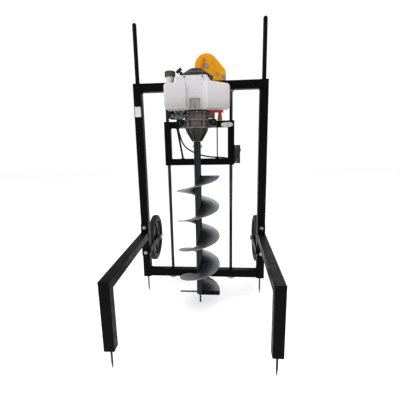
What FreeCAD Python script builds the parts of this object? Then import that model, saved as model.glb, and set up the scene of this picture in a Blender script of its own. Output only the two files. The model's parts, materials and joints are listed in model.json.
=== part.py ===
import FreeCAD, Part
import math
import os

# Trolley earth auger: a welded frame on ground spikes, with two wheels behind it, carries a sliding
# carriage with an engine and an earth bit. A hand winch on the top rail lifts and lowers the carriage.
# Millimetres. X runs to the right, Y to the back, Z up from the ground under the spikes.
# While it is drawn, Y is counted from the front faces of the posts.

Vec = FreeCAD.Vector
AXIS_X = Vec(1, 0, 0)
AXIS_Y = Vec(0, 1, 0)
AXIS_Z = Vec(0, 0, 1)

# Main frame
frame_width = 650.0
frame_height = 1000.0
frame_foot_z = 93.0
tube = 40.0
tube_wall = 2.5
tube_round = 3.5
end_plate = 4.0

# Push handles
handle_radius = 10.0
handle_wall = 2.0
handle_reach = 273.0
handle_depth = 80.0
handle_shoulder = 2.0

# Front legs
leg_reach = 565.0
leg_top_z = 348.0
leg_foot_z = 81.0
leg_toe_in = 10.0
flange = 6.0
flange_low_z = 214.0
flange_high_z = 392.0
leg_bolt_low_z = 234.0
leg_bolt_high_z = 373.0
leg_bolt_radius = 5.0
leg_bolt_flats = 17.0
leg_bolt_head = 6.4

# Ground spikes
spike_radius = 4.0
spike_point = 24.0
spike_tip_radius = 1.5

# Wheels
wheel_radius = 136.5
tyre_width = 31.0
tyre_depth = 24.0
tyre_shoulder = 7.0
wheel_axle_y = 225.0
wheel_axle_z = 245.0
carrier_thickness = 6.0
carrier_height = 34.0
axle_radius = 8.0
axle_head_flats = 24.0
axle_head = 9.5
axle_nut = 13.0
axle_washer = 1.7
hub_width = 40.0
hub_radius = 22.0
rim_thickness = 7.0
rim_width = 27.0
web_thickness = 7.0
wheel_ribs = 6
wheel_rib_thickness = 5.0

# Guide rods and carriage
slide_x = -7.0
rod_spacing = 314.0
rod_radius = 8.0
rod_depth = 30.0
rod_collar_radius = 13.0
rod_collar = 8.0
rod_plate_width = 42.0
rod_plate = 4.0
rod_nut_flats = 24.0
rod_nut = 8.0
carriage_foot_z = 697.0
carriage_height = 214.0
sleeve = 32.0
sleeve_wall = 2.5
bush_length = 25.0
stay_radius = 3.0
stay_x = 82.0
brace_radius = 5.0
brace_foot_x = -92.0
brace_top_x = -116.0
stay_pad = 9.0

# Hand winch
winch_drum_x = 34.0
winch_drum_rise = 67.0
winch_round = 54.0
winch_width = 145.5
winch_corner_rise = 47.0
winch_corner = 3.5
winch_corner_drop = 9.0
winch_plate = 4.0
winch_inside = 63.0
winch_base_plate = 4.0
winch_tie_radius = 5.0
winch_tie_inset = 12.0
winch_tie_rise = 15.0
winch_lug_x = 51.0
winch_lug_rise = 21.5
winch_lug_width = 22.0
drum_axle_radius = 8.0
barrel_radius = 20.0
drum_sleeve_radius = 13.0
drum_flange_radius = 36.0
drum_flange = 2.5
gear_module = 2.5
drum_teeth = 40
pinion_teeth = 12
gear_face = 8.0
pinion_angle = -36.0
pinion_shaft_radius = 6.0
ratchet_radius = 24.0
ratchet_tooth = 5.0
ratchet_teeth = 12
ratchet_face = 5.0
ratchet_phase = 26.5
ratchet_undercut = 3.4
rope_radius = 2.5
rope_turns = 6
pawl_pivot_x = -11.5
pawl_pivot_z = 29.0
pawl_pin_radius = 3.0
pawl_engaged = -29.0
pawl_lift = 22.0
crank_length = 168.0
crank_angle = 193.0
crank_bar_width = 20.0
crank_bar = 6.0
grip_length = 92.0
grip_radius = 13.0
grip_pin_radius = 4.0

# Drill and gearcase
drill_y = -104.0
drill_tip_z = 8.0
drill_tube_radius = 16.3
drill_tube_wall = 4.0
drill_tube_foot_z = 71.0
flight_radius = 100.0
flight_pitch = 145.0
flight_turns = 4
flight_thickness = 4.0
flight_foot_z = 72.0
blade_thickness = 5.0
blade_width = 30.0
blade_tilt = 20.0
pilot_radius = 6.5
pilot_core = 3.2
pilot_pitch = 15.0
pilot_turns = 3
gearcase_foot_z = 812.0
collar_radius = 22.5
collar_height = 14.0
gearcase_flange_radius = 50.0
gearcase_flange = 12.0
gearcase_top_z = 870.0
gearcase_ribs = 8
gearcase_rib = 4.0
output_radius = 10.0
spigot_radius = 12.2
spigot_length = 62.0
drive_pin_radius = 4.0
drive_pin_drop = 22.0

# Engine
crankcase_radius = 57.0
crankcase_height = 72.0
crankcase_waist = 46.0
crankcase_waist_height = 33.0
crankcase_band = 5.0
crankcase_rib = 36.0
crankcase_rib_turns = [0, 80, 140, 200]
fan_height = 146.0
fan_radius = 74.0
starter_rise = 31.0
starter_top_radius = 30.0
starter_slots = 16
mount_spacing = 148.0
mount_z = 895.0
ear_thickness = 12.0
ear_radius = 15.0
ear_front_y = -112.0
rubber_radius = 18.0
rubber_length = 20.0
rubber_cup = 6.0
mount_bolt_radius = 4.0
arm = 30.0
arm_wall = 2.5
cylinder_y = -86.0
cylinder_z = 992.0
cylinder_reach = 108.0
fin_count = 7
fin_thickness = 2.5
fin_half = 30.0
shroud_wall = 2.5
shroud_clearance = 4.0
exhaust_radius = 9.0
muffler_y = -50.0
carburettor_size = 34.0
carburettor_y = -133.0
carburettor_foot_z = 912.0
carburettor_height = 28.0
filter_left_x = -134.0
filter_wall_x = -118.0
filter_foot_z = 915.0
filter_height = 89.0
filter_front = 18.0
filter_back = 60.0
filter_step = 14.0
case_round = 7.0

# Fuel tank
tank_left_x = -132.0
tank_right_x = 139.0
tank_front_y = -215.0
tank_rear_y = -130.0
tank_foot_z = 943.0
tank_shoulder_z = 1048.0
tank_right_z = 1037.0
tank_step_z = 1051.0
tank_step_x = 62.0
tank_top_z = 1074.5
tank_top_left = -86.0
tank_top_right = 46.0
tank_round = 17.0
tank_edge = 11.0
tank_rear_edge = 7.0
tank_wall = 3.0
tank_notch_x = -68.0
tank_notch = 4.0
tank_channel_depth = 11.0
tank_channel_left = -44.0
tank_channel_right = 48.0
tank_channel_bevel = 9.0
tank_channel_slope = 19.0
tank_channel_level_z = 1026.0
tank_channel_end_z = 1064.0
tank_pocket_depth = 8.0
tank_pocket_left = -26.0
tank_pocket_right = 17.0
tank_pocket_top_z = 985.0
neck_x = -110.0
neck_y = -165.0
neck_radius = 16.5
neck_flare = 20.0
neck_flare_z = 1057.0
neck_top_z = 1084.0
cap_radius = 22.5
cap_foot_z = 1079.0
cap_top_z = 1101.0
cap_ribs = 24

# Controls
control_width = 28.0
control_depth = 36.0
control_foot_z = 705.0
control_height = 88.0
control_front_y = -14.0
lever_pivot_z = 752.0
lever_thickness = 11.0
lever_pin_radius = 3.0
button_radius = 5.0
button_z = 722.0
cable_radius = 3.5
starter_pull_tilt = 51.0
starter_stem = 15.0
starter_grip_radius = 7.0
starter_grip_half = 14.0
starter_middle = Vec(-78, -126, 1112)

# Clearances
running_gap = 0.05
side_gap = 0.3
hole_gap = 0.3

# Places worked out from the sizes
post_x = frame_width / 2 - tube / 2
post_inner_x = frame_width / 2 - tube
frame_top_z = frame_foot_z + frame_height
crankcase_top_z = gearcase_top_z + crankcase_height
starter_shoulder_z = crankcase_top_z + fan_height
starter_top_z = starter_shoulder_z + starter_rise
tube_y = tube / 2
rod_x = [slide_x - rod_spacing / 2, slide_x + rod_spacing / 2]
sleeve_y = tube_y
carriage_top_z = carriage_foot_z + carriage_height
sleeve_front_y = sleeve_y - sleeve / 2
sleeve_back_y = sleeve_y + sleeve / 2
toe_angle = math.atan(leg_toe_in / leg_reach)
leg_front = leg_reach * math.cos(toe_angle) + tube / 2 * math.sin(toe_angle)
frame_y = (leg_front - wheel_axle_y - wheel_radius) / 2


def box(x0, x1, y0, y1, z0, z1):
    return Part.makeBox(x1 - x0, y1 - y0, z1 - z0, Vec(x0, y0, z0))


def rod(start, axis, radius, length):
    return Part.makeCylinder(radius, length, start, axis)


def ring(start, axis, outer, inner, length):
    return rod(start, axis, outer, length).cut(rod(start, axis, inner, length))


def hexagon(start, axis, flats, length):
    side = Vec(0, 0, 1) if abs(axis.z) < 0.5 else Vec(1, 0, 0)
    corner = side * (flats / math.sqrt(3))
    turn = FreeCAD.Rotation(axis, 60)
    points = [start + corner]
    for _ in range(6):
        corner = turn.multVec(corner)
        points.append(start + corner)
    return Part.Face(Part.makePolygon(points)).extrude(axis * length)


def polygon_xz(points, y, depth):
    corners = [Vec(x, y, z) for x, z in points]
    corners.append(corners[0])
    return Part.Face(Part.makePolygon(corners)).extrude(AXIS_Y * depth)


def turned(profile, x, y):
    # a closed profile of (radius, height) points, turned about an upright axis
    points = [Vec(x + radius, y, height) for radius, height in profile]
    points.append(points[0])
    return Part.Face(Part.makePolygon(points)).revolve(Vec(x, y, 0), AXIS_Z, 360)


def joined(shapes):
    whole = shapes[0]
    for shape in shapes[1:]:
        whole = whole.fuse(shape)
    return whole.removeSplitter()


def mirrored(shape):
    return shape.mirror(Vec(0, 0, 0), AXIS_X)


def rounded_along(shape, along, radius):
    # rounds the edges of a block that run along one axis
    direction = {"x": AXIS_X, "y": AXIS_Y, "z": AXIS_Z}[along]
    edges = []
    for edge in shape.Edges:
        run = edge.Vertexes[-1].Point - edge.Vertexes[0].Point
        if run.Length > 0 and abs(abs(run.normalize().dot(direction)) - 1) < 0.001:
            edges.append(edge)
    return shape.makeFillet(radius, edges)


def square_tube(x0, x1, y0, y1, z0, z1, wall, along):
    outer = rounded_along(box(x0, x1, y0, y1, z0, z1), along, tube_round)
    inset = [0 if along == name else wall for name in "xyz"]
    inner = box(x0 + inset[0], x1 - inset[0], y0 + inset[1], y1 - inset[1], z0 + inset[2], z1 - inset[2])
    return outer.cut(rounded_along(inner, along, tube_round - wall))


def rounded_outline(corners, y, depth):
    # corners of (x, z, radius), each rounded by an arc, and the outline drawn out along Y
    edges = []
    count = len(corners)
    points = [Vec(x, y, z) for x, z, _ in corners]
    ends = []
    for index in range(count):
        corner = points[index]
        back = (points[index - 1] - corner).normalize()
        ahead = (points[(index + 1) % count] - corner).normalize()
        half = back.getAngle(ahead) / 2
        radius = corners[index][2]
        take = radius / math.tan(half)
        middle = corner + (back + ahead).normalize() * (radius / math.sin(half) - radius)
        edges.append(Part.Arc(corner + back * take, middle, corner + ahead * take).toShape())
        ends.append((corner + back * take, corner + ahead * take))
    for index in range(count):
        edges.append(Part.LineSegment(ends[index - 1][1], ends[index][0]).toShape())
    ordered = Part.__sortEdges__(edges)
    return Part.Face(Part.Wire(ordered)).extrude(AXIS_Y * depth)


def helical_sheet(foot_z, pitch, inner, outer, foot_thickness, rim_thickness):
    # one turn of a sheet that climbs round the drill axis between two radii, thinner at its rim if wanted
    def helix(radius, z):
        edge = Part.makeHelix(pitch, pitch, radius)
        edge.translate(Vec(slide_x, drill_y, z))
        return edge.Edges[0]
    inset = (foot_thickness - rim_thickness) / 2
    low = [helix(inner, foot_z), helix(outer, foot_z + inset)]
    high = [helix(inner, foot_z + foot_thickness), helix(outer, foot_z + foot_thickness - inset)]
    faces = [Part.makeRuledSurface(low[0], low[1]), Part.makeRuledSurface(high[0], high[1]),
             Part.makeRuledSurface(low[0], high[0]), Part.makeRuledSurface(low[1], high[1])]
    for rise in (0, pitch):
        z0 = foot_z + rise
        points = [Vec(slide_x + radius, drill_y, z) for radius, z in
                  [(inner, z0), (outer, z0 + inset), (outer, z0 + foot_thickness - inset), (inner, z0 + foot_thickness)]]
        points.append(points[0])
        faces.append(Part.Face(Part.makePolygon(points)))
    shell = Part.makeShell(faces)
    shell.sewShape()
    solid = Part.Solid(shell)
    if solid.Volume < 0:
        solid.reverse()
    return solid


def save(name, shapes):
    solids = []
    for shape in shapes:
        solids.extend(shape.Solids)
    whole = solids[0] if len(solids) == 1 else Part.makeCompound(solids)
    whole.translate(Vec(0, frame_y, 0))
    for solid in whole.Solids:
        assert solid.isValid() and solid.Volume > 0, name
    whole.exportStep("parts/%s.step" % name)


# Main frame

def post(side):
    x0 = side * post_x - tube / 2
    shape = square_tube(x0, x0 + tube, 0, tube, frame_foot_z + end_plate, frame_top_z - end_plate, tube_wall, "z")
    for z in (leg_bolt_low_z, leg_bolt_high_z):
        shape = shape.cut(rod(Vec(side * post_x, -1, z), AXIS_Y, leg_bolt_radius + hole_gap, tube + 2))
    return shape


def end_plates():
    plates = []
    for side in (-1, 1):
        x0 = side * post_x - tube / 2
        foot = box(x0, x0 + tube, 0, tube, frame_foot_z, frame_foot_z + end_plate)
        plates.append(rounded_along(foot, "z", tube_round))
        cap = rounded_along(box(x0, x0 + tube, 0, tube, frame_top_z - end_plate, frame_top_z), "z", tube_round)
        hole = rod(Vec(side * post_x, tube_y, frame_top_z - end_plate), AXIS_Z, handle_radius + hole_gap, end_plate)
        plates.append(cap.cut(hole))
    foot = box(post_x - tube / 2, post_x + tube / 2, -leg_reach, -leg_reach + tube, leg_foot_z, leg_foot_z + end_plate)
    foot = toed_in(rounded_along(foot, "z", tube_round))
    return plates + [foot, mirrored(foot)]


def rail(z0, through):
    shape = square_tube(-post_inner_x, post_inner_x, 0, tube, z0, z0 + tube, tube_wall, "x")
    for x in rod_x:
        shape = shape.cut(rod(Vec(x, tube_y, z0 - 1), AXIS_Z, rod_radius + hole_gap, through))
    return shape


def push_handle(side):
    # the part inside the post is turned down a little and ends at a shoulder above the post
    bore = handle_radius - handle_wall
    foot = Vec(side * post_x, tube_y, frame_top_z - handle_depth)
    inside = ring(foot, AXIS_Z, handle_radius - hole_gap, bore, handle_depth + handle_shoulder)
    start = foot + AXIS_Z * (handle_depth + handle_shoulder)
    length = handle_reach - handle_radius - handle_shoulder
    bar = ring(start, AXIS_Z, handle_radius, bore, length)
    end = Part.makeSphere(handle_radius, start + AXIS_Z * length, AXIS_Z, 0, 90, 360)
    return joined([inside, bar, end])


def guide_rod(x):
    foot_z = frame_foot_z + end_plate - rod_plate - rod_nut - 2
    return rod(Vec(x, tube_y, foot_z), AXIS_Z, rod_radius, frame_top_z - tube + rod_depth - foot_z)


def rod_fixings():
    shapes = []
    plate_z = frame_foot_z + end_plate - rod_plate
    for x in rod_x:
        plate = box(x - rod_plate_width / 2, x + rod_plate_width / 2, 5, tube - 5, plate_z, plate_z + rod_plate)
        nut = hexagon(Vec(x, tube_y, plate_z - rod_nut), AXIS_Z, rod_nut_flats, rod_nut)
        for part in (plate, nut):
            shapes.append(part.cut(rod(Vec(x, tube_y, plate_z - 20), AXIS_Z, rod_radius, 40)))
        collar_z = frame_top_z - tube - rod_collar
        shapes.append(ring(Vec(x, tube_y, collar_z), AXIS_Z, rod_collar_radius, rod_radius, rod_collar))
    return shapes


# Front legs, drawn on the right and mirrored

def toed_in(shape):
    return shape.rotated(Vec(post_x, 0, 0), AXIS_Z, -math.degrees(toe_angle))


def leg_profile(points, wall):
    x0 = post_x - tube / 2 + wall
    corners = [Vec(x0, y, z) for y, z in points]
    corners.append(corners[0])
    return Part.Face(Part.makePolygon(corners)).extrude(AXIS_X * (tube - 2 * wall))


def leg_beam():
    low = leg_top_z - tube
    front = -leg_reach
    x0 = post_x - tube / 2
    bar = square_tube(x0, x0 + tube, front, tube, low, leg_top_z, tube_wall, "y")
    open_end = leg_profile([(front - 1, leg_top_z + 1), (front + tube + 1, low - 1), (front - 1, low - 1)], -1)
    return toed_in(bar.cut(open_end)).cut(box(0, frame_width, -flange, tube * 3, 0, frame_top_z))


def leg_flange():
    plate = box(post_x - tube / 2, post_x + tube / 2, -flange, 0, flange_low_z, flange_high_z)
    plate = rounded_along(plate, "y", tube_round)
    for z in (leg_bolt_low_z, leg_bolt_high_z):
        plate = plate.cut(rod(Vec(post_x, -flange, z), AXIS_Y, leg_bolt_radius + hole_gap, flange))
    return plate


def leg_upright():
    low = leg_top_z - tube
    front = -leg_reach
    x0 = post_x - tube / 2
    bar = square_tube(x0, x0 + tube, front, front + tube, leg_foot_z + end_plate, leg_top_z, tube_wall, "z")
    open_end = leg_profile([(front - 1, leg_top_z + 1), (front + tube + 1, leg_top_z + 1),
                            (front + tube + 1, low - 1)], -1)
    return toed_in(bar.cut(open_end))


def leg_bolts():
    shapes = []
    for side in (-1, 1):
        for z in (leg_bolt_low_z, leg_bolt_high_z):
            start = Vec(side * post_x, -flange, z)
            head = hexagon(start - AXIS_Y * leg_bolt_head, AXIS_Y, leg_bolt_flats, leg_bolt_head)
            shank = rod(start, AXIS_Y, leg_bolt_radius, flange + tube + 12)
            shapes.append(head.fuse(shank))
            nut = hexagon(Vec(side * post_x, tube, z), AXIS_Y, leg_bolt_flats, 8)
            shapes.append(nut.cut(rod(Vec(side * post_x, tube, z), AXIS_Y, leg_bolt_radius, 8)))
    return shapes


def spike(top):
    length = top.z - spike_point
    pin = rod(Vec(top.x, top.y, spike_point), AXIS_Z, spike_radius, length)
    point = Part.makeCone(spike_tip_radius, spike_radius, spike_point, Vec(top.x, top.y, 0), AXIS_Z)
    return pin.fuse(point).removeSplitter()


def ground_spikes():
    along = leg_reach - tube / 2
    leg_x = post_x - math.sin(toe_angle) * along
    leg_y = -math.cos(toe_angle) * along
    tops = []
    for side in (-1, 1):
        tops.append(Vec(side * post_x, tube_y, frame_foot_z))
        tops.append(Vec(side * leg_x, leg_y, leg_foot_z))
    return [spike(top) for top in tops]


# Wheels, drawn on the right and mirrored

carrier_x = post_inner_x - carrier_thickness
hub_x = post_inner_x + axle_washer + side_gap
tyre_x = hub_x + (hub_width - tyre_width) / 2 - 1.5


def axle_carrier():
    z0 = wheel_axle_z - carrier_height / 2
    bar = box(carrier_x, post_inner_x, tube / 8, wheel_axle_y, z0, z0 + carrier_height)
    centre = Vec(carrier_x, wheel_axle_y, wheel_axle_z)
    bar = bar.fuse(rod(centre, AXIS_X, carrier_height / 2, carrier_thickness))
    return bar.cut(rod(centre, AXIS_X, axle_radius + running_gap, carrier_thickness))


def axle_bolt():
    centre = Vec(carrier_x, wheel_axle_y, wheel_axle_z)
    head = hexagon(centre - AXIS_X * axle_head, AXIS_X, axle_head_flats, axle_head)
    end_x = hub_x + hub_width + side_gap + axle_washer + axle_nut + 3
    return head.fuse(rod(centre, AXIS_X, axle_radius, end_x - carrier_x))


def axle_nuts():
    start = Vec(hub_x + hub_width + side_gap, wheel_axle_y, wheel_axle_z)
    inner = Vec(post_inner_x, wheel_axle_y, wheel_axle_z)
    washer = ring(start, AXIS_X, axle_head_flats * 0.62, axle_radius, axle_washer)
    spacer = ring(inner, AXIS_X, axle_head_flats * 0.62, axle_radius, axle_washer)
    nut = hexagon(start + AXIS_X * axle_washer, AXIS_X, axle_head_flats, axle_nut)
    nut = nut.cut(rod(start, AXIS_X, axle_radius, axle_nut + axle_washer))
    return [washer, spacer, nut]


def wheel_turned(profile):
    # a closed profile of (place along the axle, radius) points, turned about the axle
    points = [Vec(x, wheel_axle_y, wheel_axle_z + radius) for x, radius in profile]
    points.append(points[0])
    return Part.Face(Part.makePolygon(points)).revolve(Vec(0, wheel_axle_y, wheel_axle_z), AXIS_X, 360)


def wheel_hub():
    tread = wheel_radius - tyre_depth
    middle = tyre_x + tyre_width / 2
    bore = axle_radius + running_gap
    hub = wheel_turned([(hub_x, bore), (hub_x, hub_radius), (hub_x + hub_width, hub_radius), (hub_x + hub_width, bore)])
    web = wheel_turned([(middle - web_thickness / 2, hub_radius - 2), (middle - web_thickness / 2, tread - 2),
                        (middle + web_thickness / 2, tread - 2), (middle + web_thickness / 2, hub_radius - 2)])
    rim = wheel_turned([(middle - rim_width / 2, tread - rim_thickness), (middle - rim_width / 2, tread),
                        (middle + rim_width / 2, tread), (middle + rim_width / 2, tread - rim_thickness)])
    ribs = []
    for count in range(wheel_ribs):
        rib = box(middle - rim_width / 2 + 3, middle + rim_width / 2 - 3,
                  wheel_axle_y - wheel_rib_thickness / 2, wheel_axle_y + wheel_rib_thickness / 2,
                  wheel_axle_z + hub_radius - 3, wheel_axle_z + tread - rim_thickness + 1)
        ribs.append(rib.rotated(Vec(0, wheel_axle_y, wheel_axle_z), AXIS_X, count * 360 / wheel_ribs))
    return joined([hub, web, rim] + ribs)


def tyre():
    tread = wheel_radius - tyre_depth
    x1 = tyre_x + tyre_width
    return wheel_turned([(tyre_x + 2, tread), (tyre_x, tread + 5), (tyre_x, wheel_radius - tyre_shoulder),
                         (tyre_x + tyre_shoulder * 0.3, wheel_radius - tyre_shoulder * 0.3),
                         (tyre_x + tyre_shoulder, wheel_radius), (x1 - tyre_shoulder, wheel_radius),
                         (x1 - tyre_shoulder * 0.3, wheel_radius - tyre_shoulder * 0.3),
                         (x1, wheel_radius - tyre_shoulder), (x1, tread + 5), (x1 - 2, tread)])


# Hand winch

winch_front_y = -winch_plate / 4
winch_inner_y = winch_front_y + winch_plate
winch_rear_y = winch_inner_y + winch_inside
winch_left_x = winch_drum_x - winch_round
winch_right_x = winch_left_x + winch_width
winch_drum_z = frame_top_z + winch_drum_rise
winch_corner_z = frame_top_z + winch_corner_rise
winch_tie_z = frame_top_z + winch_tie_rise
winch_lug_z = frame_top_z + winch_lug_rise
drum_centre = Vec(winch_drum_x, 0, winch_drum_z)
gear_distance = gear_module * (drum_teeth + pinion_teeth) / 2
pinion_x = winch_drum_x + gear_distance * math.cos(math.radians(pinion_angle))
pinion_z = winch_drum_z + gear_distance * math.sin(math.radians(pinion_angle))
ratchet_y = winch_inner_y + 2
barrel_y = ratchet_y + ratchet_face + 1.5
gear_y = winch_rear_y - gear_face - 4
rope_y = gear_y - 1.5 - drum_flange - side_gap - rope_radius
rope_x = winch_drum_x - barrel_radius - rope_radius - side_gap
crank_y = winch_rear_y + winch_plate + 14


def winch_outline(y):
    corner_x = winch_right_x - winch_corner
    run = corner_x - winch_drum_x
    drop = winch_corner_z - winch_drum_z
    reach = math.hypot(run, drop)
    tangent = math.atan2(drop, run) + math.acos(winch_round / reach)
    middle = (tangent + math.pi) / 2
    touch = Vec(winch_drum_x + winch_round * math.cos(tangent), y, winch_drum_z + winch_round * math.sin(tangent))
    top = Vec(winch_drum_x + winch_round * math.cos(middle), y, winch_drum_z + winch_round * math.sin(middle))
    left = Vec(winch_left_x, y, winch_drum_z)
    corners = [touch, Vec(corner_x, y, winch_corner_z), Vec(winch_right_x, y, winch_corner_z - winch_corner_drop),
               Vec(winch_right_x, y, frame_top_z), Vec(winch_left_x, y, frame_top_z), left]
    edges = [Part.Arc(left, top, touch).toShape()]
    for start, end in zip(corners[:-1], corners[1:]):
        edges.append(Part.LineSegment(start, end).toShape())
    return Part.Face(Part.Wire(edges)).extrude(AXIS_Y * winch_plate)


def winch_side(y):
    plate = winch_outline(y)
    holes = [(winch_drum_x, winch_drum_z, drum_axle_radius), (pinion_x, pinion_z, pinion_shaft_radius + running_gap),
             (winch_left_x + winch_tie_inset, winch_tie_z, winch_tie_radius),
             (winch_right_x - winch_tie_inset, winch_tie_z, winch_tie_radius)]
    if y == winch_front_y:
        holes.append((winch_drum_x + pawl_pivot_x, winch_drum_z + pawl_pivot_z, pawl_pin_radius + running_gap))
        holes.append((winch_lug_x, winch_lug_z, winch_tie_radius))
    for x, z, radius in holes:
        plate = plate.cut(rod(Vec(x, y, z), AXIS_Y, radius, winch_plate))
    return plate


def winch_base():
    plate = box(winch_left_x, winch_right_x, winch_inner_y, winch_rear_y, frame_top_z, frame_top_z + winch_base_plate)
    slot = rope_radius + 4
    plate = plate.cut(box(rope_x - slot, rope_x + slot, rope_y - slot, rope_y + slot, frame_top_z,
                          frame_top_z + winch_base_plate))
    lug = box(winch_lug_x - winch_lug_width / 2, winch_lug_x + winch_lug_width / 2, winch_inner_y,
              winch_inner_y + winch_base_plate, frame_top_z + winch_base_plate, winch_lug_z + winch_lug_width / 2)
    lug = lug.cut(rod(Vec(winch_lug_x, winch_inner_y, winch_lug_z), AXIS_Y, winch_tie_radius, winch_base_plate))
    return [plate, lug]


def winch_bolts():
    shapes = []
    for x in (winch_left_x + winch_tie_inset, winch_right_x - winch_tie_inset):
        start = Vec(x, winch_front_y, winch_tie_z)
        span = winch_inside + 2 * winch_plate
        head = hexagon(start - AXIS_Y * 6, AXIS_Y, winch_tie_radius * 3.2, 6)
        shank = rod(start, AXIS_Y, winch_tie_radius, span)
        tail = hexagon(start + AXIS_Y * span, AXIS_Y, winch_tie_radius * 3.2, 7)
        spacer = ring(start + AXIS_Y * winch_plate, AXIS_Y, winch_tie_radius + 2, winch_tie_radius, winch_inside)
        shapes.append(joined([head, shank, tail]))
        shapes.append(spacer)
    start = Vec(winch_lug_x, winch_front_y, winch_lug_z)
    head = hexagon(start - AXIS_Y * 6, AXIS_Y, winch_tie_radius * 3.2, 6)
    span = winch_plate + winch_base_plate
    tail = hexagon(start + AXIS_Y * span, AXIS_Y, winch_tie_radius * 3.2, 2.5)
    shapes.append(joined([head, rod(start, AXIS_Y, winch_tie_radius, span), tail]))
    return shapes


def drum_axle():
    start = drum_centre + AXIS_Y * winch_front_y
    span = winch_inside + 2 * winch_plate
    head = hexagon(start - AXIS_Y * 5, AXIS_Y, drum_axle_radius * 2.6, 5)
    tail = hexagon(start + AXIS_Y * span, AXIS_Y, drum_axle_radius * 2.6, 8)
    return joined([head, rod(start, AXIS_Y, drum_axle_radius, span), tail])


def rope_drum():
    bore = drum_axle_radius + running_gap
    front = winch_inner_y + side_gap
    back = winch_rear_y - side_gap
    parts = [ring(drum_centre + AXIS_Y * front, AXIS_Y, drum_sleeve_radius, bore, back - front),
             ring(drum_centre + AXIS_Y * barrel_y, AXIS_Y, barrel_radius, bore, gear_y - barrel_y)]
    for y in (barrel_y, gear_y - 1.5 - drum_flange):
        parts.append(ring(drum_centre + AXIS_Y * y, AXIS_Y, drum_flange_radius, bore, drum_flange))
    return joined(parts)


def gear_blank(teeth, centre, y, face, bore, start_angle):
    # straight-sided flanks follow an involute of 20 degrees at four radii
    pitch = gear_module * teeth / 2
    base = pitch * math.cos(math.radians(20))
    root = pitch - 1.25 * gear_module
    tip = pitch + gear_module
    half_tooth = math.pi / teeth / 2 - 0.12 / pitch
    involute_pitch = math.tan(math.radians(20)) - math.radians(20)
    radii = [max(base, root + 0.1), pitch, (pitch + tip) / 2, tip]
    flank = []
    for radius in radii:
        pressure = math.acos(min(1, base / radius))
        flank.append((radius, half_tooth + involute_pitch - (math.tan(pressure) - pressure)))
    points = []
    for count in range(teeth):
        middle = math.radians(start_angle) + 2 * math.pi * count / teeth
        points.append((root, middle - flank[0][1]))
        for radius, half in flank:
            points.append((radius, middle - half))
        for radius, half in reversed(flank):
            points.append((radius, middle + half))
        points.append((root, middle + flank[0][1]))
    outline = [(centre.x + radius * math.cos(angle), centre.z + radius * math.sin(angle)) for radius, angle in points]
    blank = polygon_xz(outline, y, face)
    return blank.cut(rod(Vec(centre.x, y, centre.z), AXIS_Y, bore, face))


def drum_gear():
    start_angle = pinion_angle
    return gear_blank(drum_teeth, drum_centre, gear_y, gear_face, drum_sleeve_radius, start_angle)


def ratchet_wheel():
    points = []
    root = ratchet_radius - ratchet_tooth
    for count in range(ratchet_teeth):
        tip = math.radians(ratchet_phase + 360 * count / ratchet_teeth)
        foot = tip + math.radians(ratchet_undercut)
        points.append((ratchet_radius * math.cos(tip), ratchet_radius * math.sin(tip)))
        points.append((root * math.cos(foot), root * math.sin(foot)))
    outline = [(winch_drum_x + x, winch_drum_z + z) for x, z in points]
    wheel = polygon_xz(outline, ratchet_y, ratchet_face)
    return wheel.cut(rod(drum_centre + AXIS_Y * ratchet_y, AXIS_Y, drum_sleeve_radius, ratchet_face))


def rope_windings():
    # the turns of the rope on the barrel, each with flattened sides
    start_y = rope_y - rope_radius - side_gap - rope_turns * 2 * rope_radius
    outer = barrel_radius + 2 * rope_radius
    profile = [(barrel_radius, start_y)]
    for count in range(rope_turns):
        y = start_y + count * 2 * rope_radius
        profile.append((outer - rope_radius, y))
        profile.append((outer, y + rope_radius * 0.5))
        profile.append((outer, y + rope_radius * 1.5))
    profile.append((outer - rope_radius, start_y + rope_turns * 2 * rope_radius))
    profile.append((barrel_radius, start_y + rope_turns * 2 * rope_radius))
    points = [Vec(winch_drum_x + radius, y, winch_drum_z) for radius, y in profile]
    points.append(points[0])
    return Part.Face(Part.makePolygon(points)).revolve(drum_centre, AXIS_Y, 360)


def pinion_shaft():
    start = Vec(pinion_x, winch_front_y - 6, pinion_z)
    length = crank_y + crank_bar + 10 - start.y
    shaft = rod(start, AXIS_Y, pinion_shaft_radius, length)
    # a gap of the pinion faces a tooth of the drum gear
    start_angle = pinion_angle + 180 + 180 / pinion_teeth
    teeth = gear_blank(pinion_teeth, Vec(pinion_x, 0, pinion_z), gear_y - 1, gear_face + 2, pinion_shaft_radius - 1,
                       start_angle)
    return joined([shaft, teeth])


def crank_arm():
    along = Vec(math.cos(math.radians(crank_angle)), 0, math.sin(math.radians(crank_angle)))
    start = Vec(pinion_x, crank_y, pinion_z)
    end = start + along * crank_length
    bar = box(0, crank_length, crank_y, crank_y + crank_bar, -crank_bar_width / 2, crank_bar_width / 2)
    bar.rotate(Vec(0, 0, 0), AXIS_Y, -crank_angle)
    bar.translate(Vec(pinion_x, 0, pinion_z))
    hub = rod(start - AXIS_Y * 8, AXIS_Y, crank_bar_width / 2 + 2, crank_bar + 8)
    tip = rod(end, AXIS_Y, crank_bar_width / 2, crank_bar)
    pin = rod(end, AXIS_Y, grip_pin_radius, crank_bar + 1 + grip_length)
    head = rod(end + AXIS_Y * (crank_bar + 1.3 + grip_length), AXIS_Y, grip_pin_radius * 1.8, 4)
    link = rod(end + AXIS_Y * (crank_bar + 1 + grip_length), AXIS_Y, grip_pin_radius, 2)
    whole = joined([bar, hub, tip, pin, link, head])
    nut = hexagon(start + AXIS_Y * crank_bar, AXIS_Y, 18, 7)
    bore = rod(start - AXIS_Y * 8, AXIS_Y, pinion_shaft_radius, 40)
    return [whole.cut(bore), nut.cut(bore)]


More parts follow.
